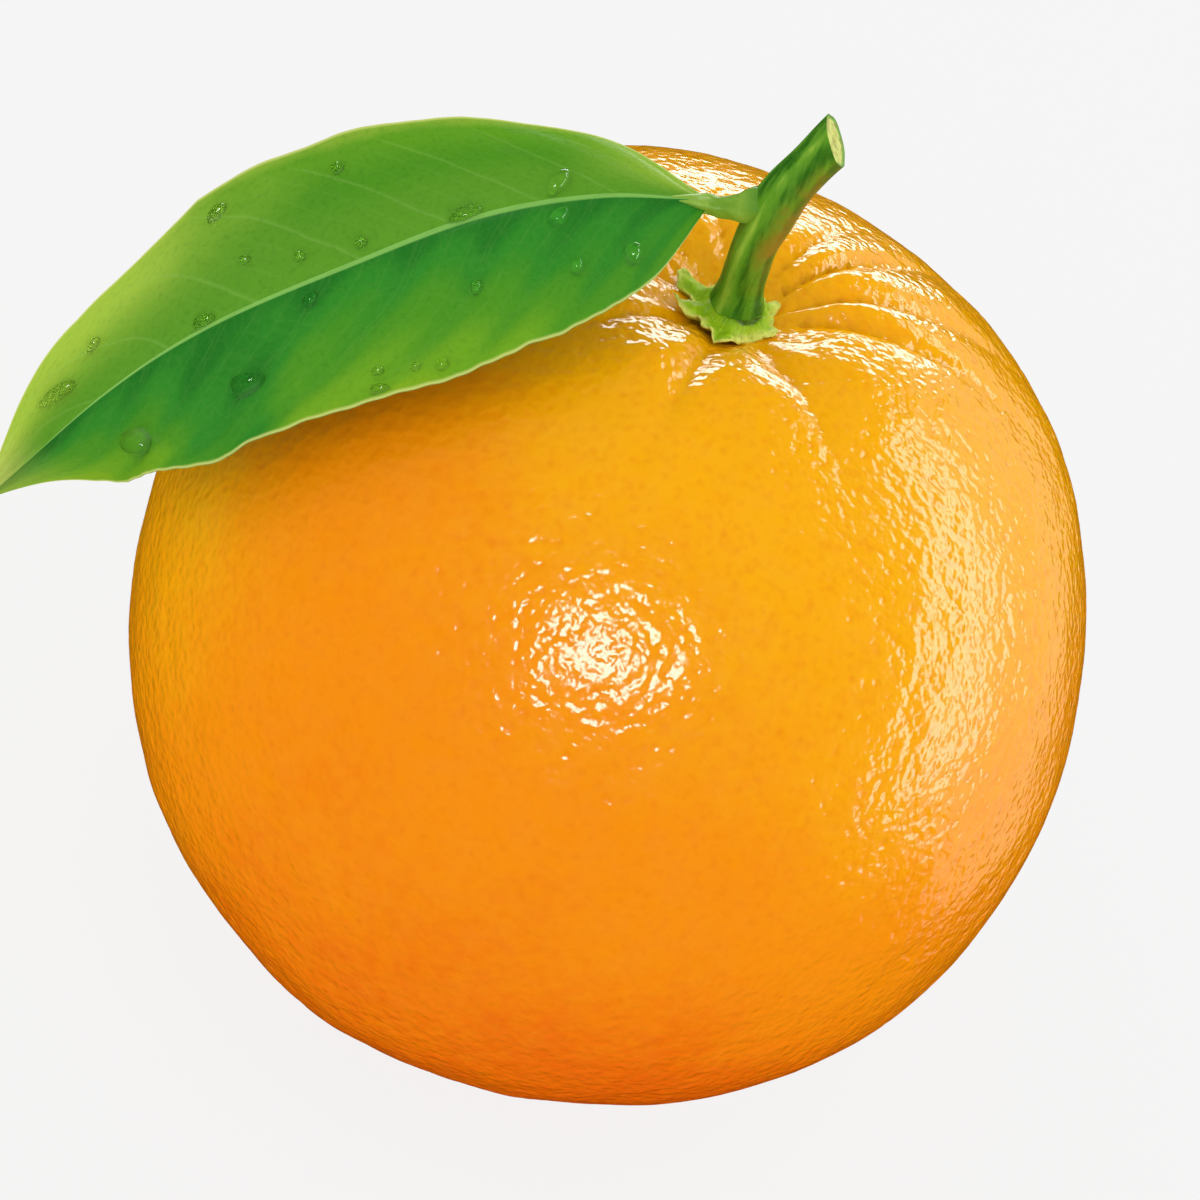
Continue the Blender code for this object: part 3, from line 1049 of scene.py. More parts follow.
@dataclass(frozen=True)
class PeelShape:
    """The smooth outside of the fruit: a rounded square section, a hollow for the calyx, and furrows."""

    radius: float = 38 * MM
    half_height: float = 36.1 * MM
    squareness: float = 2.2
    taper: float = 0.03
    foot_radius: float = 10 * MM
    cavity_depth: float = 4.2 * MM
    cavity_radius: float = 6.4 * MM
    furrow_start: float = 5 * MM
    roll_roundness: float = 0.5
    height_rounds: int = 6
    furrows: tuple[Place, ...] = (  # degrees from +X in rising order, depth and length in mm
        (-179, 1.2, 13),
        (-137, 1.3, 12),
        (-97, 1.5, 15),
        (-48, 1.7, 14),
        (15, 2.0, 20),
        (32, 1.8, 21),
        (54, 1.8, 19),
        (69, 1.4, 15),
        (84, 1.2, 14),
        (112, 1.2, 13),
        (146, 1.3, 14),
    )

    @property
    def centre_z(self) -> float:
        """How high the middle of the section is above the flat spot."""
        share = (self.foot_radius / self.radius) ** self.squareness
        return self.half_height * (1 - share) ** (1 / self.squareness)

    def section_radius(self, height: Array) -> Array:
        """The section's radius at a height from -1 to 1."""
        side = np.maximum(1 - np.abs(height) ** self.squareness, 0) ** (1 / self.squareness)
        return self.radius * side * (1 - self.taper * height)

    def hollow(self, reach: Array, direction: Array) -> Array:
        """How far the peel lies below the plain section.

        Args:
            reach: The distance from the axis.
            direction: Degrees from +X.

        Returns:
            The depth in metres.
        """
        ways, depths, lengths = np.array(self.furrows).T
        ways = np.append(ways, ways[0] + 360)
        turned = (direction - ways[0]) % 360 + ways[0]
        before = np.searchsorted(ways, turned, side="right") - 1
        after = (before + 1) % len(depths)
        share = (turned - ways[before]) / (ways[before + 1] - ways[before])
        depth = (depths[before] * (1 - share) + depths[after] * share) * MM
        length = (lengths[before] * (1 - share) + lengths[after] * share) * MM
        roll = (4 * share * (1 - share)) ** self.roll_roundness
        opening = 1 - hump(reach, self.furrow_start, 3)
        fade = hump(reach, length, 3)
        cavity = self.cavity_depth * hump(reach, self.cavity_radius)
        return cavity + depth * opening * fade * (1 - roll)

    def height_at(self, reach: Array, direction: Array) -> Array:
        """The peel's height near the stem.

        Args:
            reach: The distance from the axis.
            direction: Degrees from +X.

        Returns:
            The height above the flat spot.
        """
        height = np.ones_like(reach)
        for _ in range(self.height_rounds):
            side = reach / (self.radius * (1 - self.taper * height))
            height = (1 - side**self.squareness) ** (1 / self.squareness)
        return self.centre_z + self.half_height * height - self.hollow(reach, direction)

    def surface(self, ways: Array) -> Array:
        """The peel's points in some unit directions from the middle.

        Args:
            ways: The directions, one row each.

        Returns:
            The points, one row each.
        """
        level = ways[:, 2]
        direction = np.arctan2(ways[:, 1], ways[:, 0])
        height = np.copysign(np.abs(level) ** (2 / self.squareness), level)
        reach = self.section_radius(height)
        hollow = np.where(height > 0, self.hollow(reach, np.degrees(direction)), 0)
        z = self.centre_z + self.half_height * height - hollow
        return round_axis(direction, reach, np.maximum(z, 0))


@dataclass
class Fruit:
    """The fruit: one closed mesh with its lumps, wrinkles, oil-gland pits and the scar underneath."""

    shape: PeelShape
    cells: int = 127
    same_place: float = 1e-6
    glands: int = 13500
    gland_radius: float = 0.46 * MM
    gland_radii: Span = (0.75, 1.25)
    gland_depth: float = 0.085 * MM
    gland_depths: Span = (0.5, 1.3)
    gland_steepness: float = 1.6
    gland_jumble: float = 0.42
    gland_seed: int = 11
    swells: tuple[Ripples, ...] = (Ripples(3, 0.09 * MM, 19 * MM), Ripples(4, 0.04 * MM, 5 * MM))
    stem_wrinkles: Ripples = Ripples(5, 0.16 * MM, 2.6, 20)
    wrinkle_turn: float = 9.0
    wrinkle_step: float = 4 * MM
    wrinkle_reach: float = 15 * MM
    wrinkled_pits: float = 0.5
    lumps: tuple[tuple[float, float, float, float, float], ...] = (  # x, y, z way, height in mm, spread
        (0.59, 0.54, 0.60, 0.12, 0.40),
        (0.95, 0.20, 0.22, -0.45, 0.40),
        (0.30, -0.64, -0.71, -0.35, 0.55),
        (-0.18, -0.66, -0.73, 0.50, 0.26),
        (-0.95, -0.20, -0.22, -0.10, 0.40),
    )
    finish: PeelFinish = PeelFinish()
    foot_height: float = 0.9 * MM
    scar_radius: float = 1.9 * MM
    scar_depth: float = 0.5 * MM

    def build(self) -> bpy.types.Object:
        """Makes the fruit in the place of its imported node.

        Returns:
            The piece.
        """
        ways, faces = self._round_cube()
        mesh = new_mesh("orange_fruit", self.shape.surface(ways), faces)
        places, normals = vertex_arrays(mesh)
        raised = places + normals * self._relief(places, ways)[:, None]
        raised[:, 2] = np.maximum(raised[:, 2], 0) + self._scar(places)
        move_vertices(mesh, raised)
        return stand_in("fruit", mesh, self.finish.make(), Slot.PEEL)

    def _round_cube(self) -> tuple[Array, Faces]:
        """A ball of nearly equal quads.

        Returns:
            The unit directions of the points, and the faces.
        """
        across = np.tan(np.linspace(-1, 1, self.cells + 1) * math.pi / 4)
        u, v = np.meshgrid(across, across, indexing="ij")
        one = np.ones_like(u)
        sides = ((one, u, v), (-one, v, u), (v, one, u), (u, -one, v), (u, v, one), (v, u, -one))
        points = unit(np.concatenate([np.stack(side, -1).reshape(-1, 3) for side in sides]))
        side_faces = np.array(grid_faces(self.cells + 1, self.cells + 1, False))
        faces = np.concatenate([side_faces + number * u.size for number in range(len(sides))])
        keys = np.round(points / self.same_place).astype(np.int64)
        _, first, joined = np.unique(keys, axis=0, return_index=True, return_inverse=True)
        return points[first], [tuple(face) for face in joined.reshape(-1)[faces].tolist()]

    def _relief(self, places: Array, ways: Array) -> Array:
        """How far each point stands out of the smooth shape.

        Args:
            places: The mesh's points.
            ways: Their unit directions from the middle.

        Returns:
            A distance for each point.
        """
        reach = np.hypot(places[:, 0], places[:, 1])
        direction = np.arctan2(places[:, 1], places[:, 0])
        relief = sum(swell.at(places) for swell in self.swells)
        for x, y, z, height, spread in self.lumps:
            apart = np.arccos(np.clip(ways @ unit(np.array((x, y, z))), -1, 1))
            relief += height * MM * hump(apart, spread)
        near_stem = hump(reach, self.wrinkle_reach) * (places[:, 2] > self.shape.centre_z)
        wheel = round_axis(direction, self.wrinkle_turn, reach / self.wrinkle_step)
        relief += near_stem * self.stem_wrinkles.at(wheel)
        relief -= self._pits(places) * (1 + self.wrinkled_pits * near_stem)
        return relief * smooth_step(0, self.foot_height, places[:, 2])

    def _pits(self, places: Array) -> Array:
        """The depth of the oil-gland pits at each point.

        Args:
            places: The mesh's points.

        Returns:
            A depth for each point.
        """
        draw = np.random.default_rng(self.gland_seed)
        number = np.arange(self.glands) + 0.5
        level = 1 - 2 * number / self.glands
        golden_turn = math.pi * (1 + math.sqrt(5)) * number
        ways = round_axis(golden_turn, np.sqrt(1 - level**2), level)
        spacing = math.sqrt(4 * math.pi / self.glands)
        ways = unit(ways + draw.uniform(-self.gland_jumble, self.gland_jumble, ways.shape) * spacing)
        centres = self.shape.surface(ways)
        widths = self.gland_radius * draw.uniform(*self.gland_radii, self.glands)
        depths = self.gland_depth * draw.uniform(*self.gland_depths, self.glands)
        tree = KDTree(self.glands)
        for index, centre in enumerate(centres):
            tree.insert(centre, index)
        tree.balance()
        found = [tree.find(place) for place in places]
        nearest = np.array([index for _, index, _ in found])
        away = np.array([distance for _, _, distance in found])
        return depths[nearest] * hump(away, widths[nearest]) ** self.gland_steepness

    def _scar(self, places: Array) -> Array:
        """The small dimple in the middle of the flat spot.

        Args:
            places: The mesh's points.

        Returns:
            How far each point moves up.
        """
        reach = np.hypot(places[:, 0], places[:, 1])
        under = places[:, 2] < self.shape.centre_z
        return np.where(under, self.scar_depth * hump(reach, self.scar_radius) ** 2, 0)


# ---------------------------------------------------------------- calyx


@dataclass
class Calyx:
    """The ragged star that the stem grows out of: a collar, curled lobes and a torn side."""

    shape: PeelShape
    hub_radius: float = 3.1 * MM
    lobes: tuple[Place, ...] = (  # degrees from +X, reach past the hub in mm, half width in degrees
        (-92, 2.2, 15),
        (-18, 0.3, 18),
        (44, 0.6, 16),
        (104, 1.0, 18),
        (174, 2.0, 15),
        (216, 2.4, 13),
        (244, 0.9, 12),
    )
    lobe_curl: float = 0.28
    collar_radius: float = 2.15 * MM
    collar_height: float = 0.55 * MM
    collar_width: float = 0.45 * MM
    gap: float = 0.05 * MM
    skin: float = 0.26 * MM
    hub_thickness: float = 1.35 * MM
    hub_roundness: float = 1.6
    rim_edge: Span = (0.3, 3.0)  # least share of the thickness at the rim, and how fast it grows inwards
    ragged: tuple[Ripples, ...] = (Ripples(21, 0.16 * MM, 0.32), Ripples(22, 0.08 * MM, 0.11))
    warp: Ripples = Ripples(23, 0.14 * MM, 1.6 * MM)
    bumps: Ripples = Ripples(24, 0.06 * MM, 0.7 * MM)
    torn_way: float = 232.0
    torn_width: float = 26.0
    torn_teeth: int = 17
    torn_shift: float = 1.0
    torn_level: Span = (-0.2, 0.5)
    torn_raggedness: float = 1.2
    torn_lift: float = 0.35 * MM
    turns: int = 300
    rings: int = 44
    first_ring: float = 0.02
    finish: CalyxFinish = CalyxFinish()

    def build(self) -> bpy.types.Object:
        """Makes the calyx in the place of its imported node.

        Returns:
            The piece.
        """
        turn = np.linspace(0, TURN, self.turns, endpoint=False)
        out = np.linspace(self.first_ring, 1, self.rings)
        rows = np.concatenate((self._surface(out, turn, 1.0), self._surface(out[::-1], turn, 0.0)))
        points, faces = closed_skin(rows, rows[0].mean(0), rows[-1].mean(0))
        shares = np.concatenate((out, out[::-1]))
        marks = {
            "calyx_out": np.append(np.repeat(shares, self.turns), (0, 0)),
            "calyx_torn": np.append(np.outer(shares**2, self._torn(np.degrees(turn))).ravel(), (0, 0)),
        }
        mesh = new_mesh("orange_calyx", points, faces, marks)
        return stand_in("calyx", mesh, self.finish.make(), Slot.CALYX)

    def _reach(self, direction: Array) -> Array:
        """The star's ragged outline.

        Args:
            direction: Degrees from +X.

        Returns:
            The distance of the rim from the axis.
        """
        reach = np.full_like(direction, self.hub_radius)
        for lobe, length, half_width in self.lobes:
            reach += length * MM * hump(degrees_apart(direction, lobe), half_width)
        circle = round_axis(np.radians(direction), 1.0, 0.0)
        ragged = sum(ripple.at(circle) for ripple in self.ragged)
        return reach + ragged * (1 + self.torn_raggedness * self._torn(direction))

    def _torn(self, direction: Array) -> Array:
        """Where the rim is torn and browned.

        Args:
            direction: Degrees from +X.

        Returns:
            A number from 0 to 1 for each direction.
        """
        near = hump(degrees_apart(direction, self.torn_way), self.torn_width)
        teeth = np.sin(np.radians(direction) * self.torn_teeth + self.torn_shift)
        return near * smooth_step(*self.torn_level, teeth)

    def _surface(self, out: Array, turn: Array, side: float) -> Array:
        """Rings of points over one side.

        Args:
            out: How far out each row is, from 0 to 1.
            turn: The angles round the axis.
            side: 1 for the upper side and 0 for the underside.

        Returns:
            The points, ring by ring.
        """
        share, angle = crossed(out, turn)
        direction = np.degrees(angle)
        reach = share * self._reach(direction)
        flat = round_axis(angle, reach, 0.0)
        lift = np.zeros_like(reach)
        for lobe, length, half_width in self.lobes:
            near = hump(degrees_apart(direction, lobe), half_width)
            lift += self.lobe_curl * length * MM * near * share**5
        lift += share**2 * self.warp.at(flat)
        lift += self.torn_lift * self._torn(direction) * share**3
        thickness = self.skin + (self.hub_thickness - self.skin) * (1 - share**2) ** self.hub_roundness
        collar = hump(reach - self.collar_radius, self.collar_width) * self.collar_height
        least, growth = self.rim_edge
        top = thickness * np.minimum((1 - share**8) * growth + least, 1) + collar + self.bumps.at(flat)
        z = self.shape.height_at(reach, direction) + self.gap + lift * share + side * top
        return round_axis(angle, reach, z)


# ---------------------------------------------------------------- stem and leaf stalk


@dataclass(frozen=True)
class Rail:
    """A bent middle line with a fixed sideways frame, for rods that follow it."""

    line: tuple[Place, ...]
    sideways: Place = (0.0, 1.0, 0.0)
    step: float = 0.004

    def frame(self, along: Array) -> tuple[Array, Array, Array]:
        """The line's points with the ways across it.

        Args:
            along: How far along the line, from 0 to 1.

        Returns:
            The points, and two unit ways across the line.
        """
        points = np.array(self.line) * MM
        ahead = unit(smooth_line(points, along + self.step) - smooth_line(points, along - self.step))
        first = unit(np.cross(np.broadcast_to(self.sideways, ahead.shape), ahead))
        return smooth_line(points, along), first, np.cross(ahead, first)

    def surface(self, along: Array, turn: Array, radius: Array) -> Array:
        """Points round the line.

        Args:
            along: How far along, from 0 to 1.
            turn: The angle round the line.
            radius: The distance from the line.

        Returns:
            Points, in the shape of the three arrays.
        """
        here, first, second = self.frame(along)
        around = first * np.cos(turn)[..., None] + second * np.sin(turn)[..., None]
        return here + around * radius[..., None]


@dataclass
class Stem:
    """The cut twig: ribbed bark, a swelling where the leaf stalk joins, and a slanting cut with its pith."""

    rail: Rail = Rail(
        (
            (-0.1, -0.2, 69.4),
            (-0.4, -0.5, 72.6),
            (-0.4, -0.5, 76),
            (0.3, -0.5, 80.5),
            (1.6, -0.5, 84.4),
            (3.4, -0.5, 89),
        )
    )
    radii: tuple[float, ...] = (2.05, 1.68, 1.58, 1.58, 1.66, 1.82, 1.76, 1.70, 1.70, 1.76, 1.82)
    cut_at: Place = (2.1, -0.5, 86.1)
    cut_normal: Place = (0.81, 0.08, 0.58)
    cut_rounds: int = 30
    cut_rings: int = 16
    bark_lip: float = 0.10 * MM
    bark_lip_edge: Span = (1.0, 0.86)
    wood_step: float = 0.05 * MM
    wood_edge: Span = (0.85, 0.6)
    pith_depth: float = 0.22 * MM
    pith_edge: Span = (0.34, 0.12)
    saw_marks: Ripples = Ripples(33, 0.05 * MM, 0.4)
    saw_edge: Span = (1.0, 0.8)
    ribs: int = 6
    rib_height: float = 0.09 * MM
    rib_level: float = 0.4
    rib_sharpness: float = 1.6
    rib_twist: float = 1.2
    rib_wander: Ripples = Ripples(31, 1.1, 2.2)
    rib_wander_size: Span = (2, 3)
    uneven: Ripples = Ripples(32, 0.05 * MM, 1.4)
    uneven_size: Span = (1, 5)
    # The painted highlight strip: its way round the bark, its width, where it fades and how much.
    highlight_way: float = 236.0
    highlight_width: float = 34.0
    highlight_fade: Span = (0.42, 0.7)
    highlight_loss: float = 0.5
    blush_way: float = 330.0
    blush_edge: Span = (0.35, 0.95)
    blush_start: Span = (0.1, 0.3)
    blush_end: Span = (1.0, 0.6)
    crease_angle: float = 48.0
    turns: int = 144
    rows: int = 190
    finish: StemFinish = StemFinish()

    def build(self) -> bpy.types.Object:
        """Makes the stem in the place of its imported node.

        Returns:
            The piece.
        """
        turn = np.linspace(0, TURN, self.turns, endpoint=False)
        share, angle = crossed(np.linspace(0, 1, self.rows), turn)
        along = share * self._cut_places(turn)
        bark = self.rail.surface(along, angle, self._radius(along, angle))
        rings = np.linspace(1, 0, self.cut_rings, endpoint=False)[1:]
        middle = bark[-1].mean(0)
        cut = middle + (bark[-1] - middle) * rings[:, None, None]
        cut = cut + unit(np.array(self.cut_normal)) * self._cut_relief(rings, turn)[..., None]
        points, faces = closed_skin(np.concatenate((bark, cut)), bark[0].mean(0), middle)
        cut_reach = np.concatenate((np.ones(along.size), np.repeat(rings, self.turns)))
        marks = {
            "stem_rib": self._mark(self._ribbing(along, angle), 0),
            "stem_blush": self._mark(self._blush(along, angle), 0),
            "stem_sun": self._mark(self._highlight_strip(along, angle), 0),
            "stem_cut": self._mark(np.zeros_like(along), 1),
            "stem_cut_reach": np.append(cut_reach, (1.0, 0.0)),
        }
        mesh = new_mesh("orange_stem", points, faces, marks)
        mesh.set_sharp_from_angle(angle=math.radians(self.crease_angle))
        return stand_in("stem", mesh, self.finish.make(), Slot.STEM)

    def _mark(self, bark: Array, cut: float) -> Array:
        """Numbers for the bark's points, then one number for those of the cut."""
        cut_points = (self.cut_rings - 1) * self.turns
        return np.concatenate((bark.ravel(), np.full(cut_points, cut), (bark.ravel()[0], cut)))

    def _ribbing(self, along: Array, turn: Array) -> Array:
        """The bark's ribs.

        Args:
            along: How far along the line, from 0 to 1.
            turn: The angle round the line.

        Returns:
            1 on the crest of a rib and 0 between ribs.
        """
        round_size, long_size = self.rib_wander_size
        wander = self.rib_wander.at(round_axis(turn, round_size, along * long_size))
        waves = self.ribs * turn + self.rib_twist * along + wander
        return (0.5 + 0.5 * np.cos(waves)) ** self.rib_sharpness

    def _highlight_strip(self, along: Array, turn: Array) -> Array:
        """1 along the painted highlight strip down one side, fading upwards, and 0 elsewhere."""
        strip = hump(degrees_apart(np.degrees(turn), self.highlight_way), self.highlight_width)
        return strip * (1 - self.highlight_loss * smooth_step(*self.highlight_fade, along))

    def _blush(self, along: Array, turn: Array) -> Array:
        """1 on the weathered side and 0 elsewhere."""
        side = smooth_step(*self.blush_edge, np.cos(turn - math.radians(self.blush_way)))
        return side * smooth_step(*self.blush_start, along) * smooth_step(*self.blush_end, along)

    def _radius(self, along: Array, turn: Array) -> Array:
        """The bark's distance from the middle line.

        Args:
            along: How far along the line, from 0 to 1.
            turn: The angle round the line.

        Returns:
            The distance in metres.
        """
        plain = smooth_line(np.array(self.radii), along) * MM
        rib = self.rib_height * (self._ribbing(along, turn) - self.rib_level)
        round_size, long_size = self.uneven_size
        return plain + rib + self.uneven.at(round_axis(turn, round_size, along * long_size))

    def _cut_places(self, turn: Array) -> Array:
        """How far along the line the cut is.

        Args:
            turn: The angle round the line.

        Returns:
            A share of the line for each angle.
        """
        low = np.zeros_like(turn)
        high = np.ones_like(turn)
        normal = np.array(self.cut_normal)
        for _ in range(self.cut_rounds):
            middle = (low + high) / 2
            points = self.rail.surface(middle, turn, self._radius(middle, turn))
            past = (points - np.array(self.cut_at) * MM) @ normal > 0
            high = np.where(past, middle, high)
            low = np.where(past, low, middle)
        return low

    def _cut_relief(self, rings: Array, turn: Array) -> Array:
        """The cut's own unevenness: a bark lip, a step to the wood and a sunken pith.

        Args:
            rings: How far out each ring is, from 0 to 1.
            turn: The angles round the middle.

        Returns:
            How far each point stands out of the cut.
        """
        lip = -self.bark_lip * smooth_step(*self.bark_lip_edge, rings)
        wood = self.wood_step * smooth_step(*self.wood_edge, rings)
        pith = -self.pith_depth * smooth_step(*self.pith_edge, rings)
        ring, angle = crossed(rings, turn)
        rough = self.saw_marks.at(round_axis(angle, ring, 0.0)) * smooth_step(*self.saw_edge, ring)
        return (lip + wood + pith)[:, None] + rough


@dataclass
class LeafStalk:
    """The short stalk from the stem to the leaf blade, swollen at both joints."""

    rail: Rail = Rail(
        (
            (0.3, -0.5, 79.0),
            (-1.1, -0.5, 78.35),
            (-2.4, -0.5, 77.6),
            (-3.3, -0.5, 77.15),
            (-4.1, -0.5, 76.93),
            (-4.9, -0.5, 76.85),
            (-5.9, -0.9, 76.9),
            (-7.4, -1.7, 76.95),
        )
    )
    radii: tuple[float, ...] = (1.3, 1.52, 1.14, 0.84, 0.74, 0.84, 0.46, 0.15)
    ridges: int = 5
    ridge_height: float = 0.04 * MM
    uneven: Ripples = Ripples(41, 0.07 * MM, 1.0)
    uneven_length: float = 4.0
    stem_joint: Span = (0.40, 0.15)
    blade_joint: Span = (0.58, 0.70)
    stem_end: Span = (0.27, 0.13)
    turns: int = 64
    rows: int = 90
    finish: StalkFinish = StalkFinish()

    def build(self) -> bpy.types.Object:
        """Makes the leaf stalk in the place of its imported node.

        Returns:
            The piece.
        """
        share, angle = crossed(np.linspace(0, 1, self.rows), np.linspace(0, TURN, self.turns, endpoint=False))
        radius = smooth_line(np.array(self.radii), share) * MM
        radius = radius + self.ridge_height * np.cos(self.ridges * angle)
        radius = radius + self.uneven.at(round_axis(angle, 1.0, share * self.uneven_length))
        rows = self.rail.surface(share, angle, radius)
        points, faces = closed_skin(rows, rows[0].mean(0), rows[-1].mean(0))
        joint = np.maximum(smooth_step(*self.stem_joint, share), smooth_step(*self.blade_joint, share))
        stem_end = smooth_step(*self.stem_end, share)
        marks = {
            "stalk_joint": np.append(joint.ravel(), (1, 1)),
            "stalk_stem_end": np.append(stem_end.ravel(), (1, 0)),
        }
        mesh = new_mesh("orange_leaf_stalk", points, faces, marks)
        return stand_in("leaf_stalk", mesh, self.finish.make(), Slot.LEAF_STALK)


# ---------------------------------------------------------------- leaf blade and drops


@dataclass(frozen=True)
class BladeShape:
    """The blade's middle surface, read by how far along the midrib and how far aside a point is."""

    midrib: tuple[Place, ...] = (
        (-5, -0.5, 76.8),
        (-12.1, -4.3, 76.7),
        (-19.5, -8.1, 74),
        (-27.1, -10.8, 67.6),
        (-35.5, -12.4, 58.6),
        (-41.8, -12.8, 48.7),
        (-48.8, -13.25, 34.8),
    )
    back_half: tuple[float, ...] = (0.7, 4.2, 6.1, 8, 9.8, 11.3, 12.1, 10.9, 8.0, 3.7, 0.15)
    front_half: tuple[float, ...] = (0.7, 6.8, 9.8, 11.3, 12.0, 11.5, 11.5, 11.0, 8.1, 4.6, 0.15)
    face_at_stalk: Place = (0.08, -0.22, 0.97)
    face_at_tip: Place = (0.47, -0.02, 0.88)
    back_crown: float = 0.05
    front_crown: float = -0.09
    edge_wave: float = 0.12 * MM
    edge_waves: int = 7
    rib_height: float = 0.22 * MM
    rib_width: float = 0.22 * MM
    rib_taper: Span = (1.1, 0.6)
    valley_depth: float = 0.28 * MM
    valley_width: float = 1.5 * MM
    veins: Veins = Veins()
    pillow_height: float = 0.16 * MM
    pillow_edge: Span = (0.0, 0.8)
    pillow_level: float = 0.6
    uneven: Ripples = Ripples(51, 0.05 * MM, 6)
    midrib_edge: Span = (0.03, 0.25)
    margin_edge: Span = (1.0, 0.8)
    line_step: float = 0.002
    face_step: float = 0.01

    def frame(self, along: Array) -> tuple[Array, Array, Array]:
        """The blade's own axes along the midrib.

        Args:
            along: From 0 at the stalk to 1 at the tip.

        Returns:
            The midrib's points, the way across to the back half, and the way out of the upper face.
        """
        points = np.array(self.midrib) * MM
        step = self.line_step
        ahead = unit(smooth_line(points, along + step) - smooth_line(points, along - step))
        share = along[..., None]
        face = np.array(self.face_at_stalk) * (1 - share) + np.array(self.face_at_tip) * share
        across = unit(np.cross(ahead, face))
        return smooth_line(points, along), across, np.cross(across, ahead)

    def width(self, along: Array, aside: Array) -> Array:
        """The half width on the side that aside is on.

        Args:
            along: From 0 at the stalk to 1 at the tip.
            aside: 1 on the back edge and -1 on the front edge.

        Returns:
            The half width in metres.
        """
        back = smooth_line(np.array(self.back_half), along)
        front = smooth_line(np.array(self.front_half), along)
        return np.where(aside > 0, back, front) * MM

    def point(self, along: Array, aside: Array, lift: Array) -> Array:
        """Points of the blade.

        Args:
            along: From 0 at the stalk to 1 at the tip.
            aside: 1 on the back edge and -1 on the front edge.
            lift: How far above the middle surface.

        Returns:
            Points, in the shape of the three arrays.
        """
        here, across, out = self.frame(along)
        width = self.width(along, aside)
        reach = np.abs(aside)
        crown = np.where(aside > 0, self.back_crown, self.front_crown)
        bulge = 4 * crown * width * reach * (1 - reach)
        wave = self.edge_wave * aside**2 * np.sin(TURN * self.edge_waves * along) * np.sin(math.pi * along)
        return here + across * (width * aside)[..., None] + out * (bulge + wave + lift)[..., None]

    def relief(self, along: Array, aside: Array) -> Array:
        """The upper face's own relief: a raised midrib, sunken veins, and soft pillows between them.

        Args:
            along: From 0 at the stalk to 1 at the tip.
            aside: 1 on the back edge and -1 on the front edge.

        Returns:
            How far the upper face stands out.
        """
        reach = np.abs(aside)
        width = self.width(along, aside)
        at_stalk, loss = self.rib_taper
        rib = self.rib_height * hump(reach * width, self.rib_width) * (at_stalk - loss * along)
        valley = -self.valley_depth * hump(reach * width, self.valley_width) * np.sin(math.pi * along**0.7)
        shift = np.where(aside > 0, self.veins.back_shift, 0)
        beat = (self.veins.root(along, reach) * self.veins.count + shift) % 1
        pillow = self.pillow_height * (smooth_step(*self.pillow_edge, off_middle(beat)) - self.pillow_level)
        fade = smooth_step(*self.midrib_edge, reach) * smooth_step(*self.margin_edge, reach)
        fade = fade * np.sin(math.pi * along) ** 0.5
        flat = np.stack((along * BLADE_LENGTH / MM, aside * BLADE_HALF_WIDTH / MM, 0 * along), -1)
        return rib + valley + (pillow + self.uneven.at(flat)) * fade

    def normal(self, along: Array, aside: Array) -> Array:
        """The way out of the upper face.

        Args:
            along: From 0 at the stalk to 1 at the tip.
            aside: 1 on the back edge and -1 on the front edge.

        Returns:
            The unit ways.
        """
        step = self.face_step
        zero = np.zeros_like(along)
        forward = self.point(along + step, aside, zero) - self.point(along - step, aside, zero)
        sideways = self.point(along, aside + step, zero) - self.point(along, aside - step, zero)
        return unit(np.cross(sideways, forward))


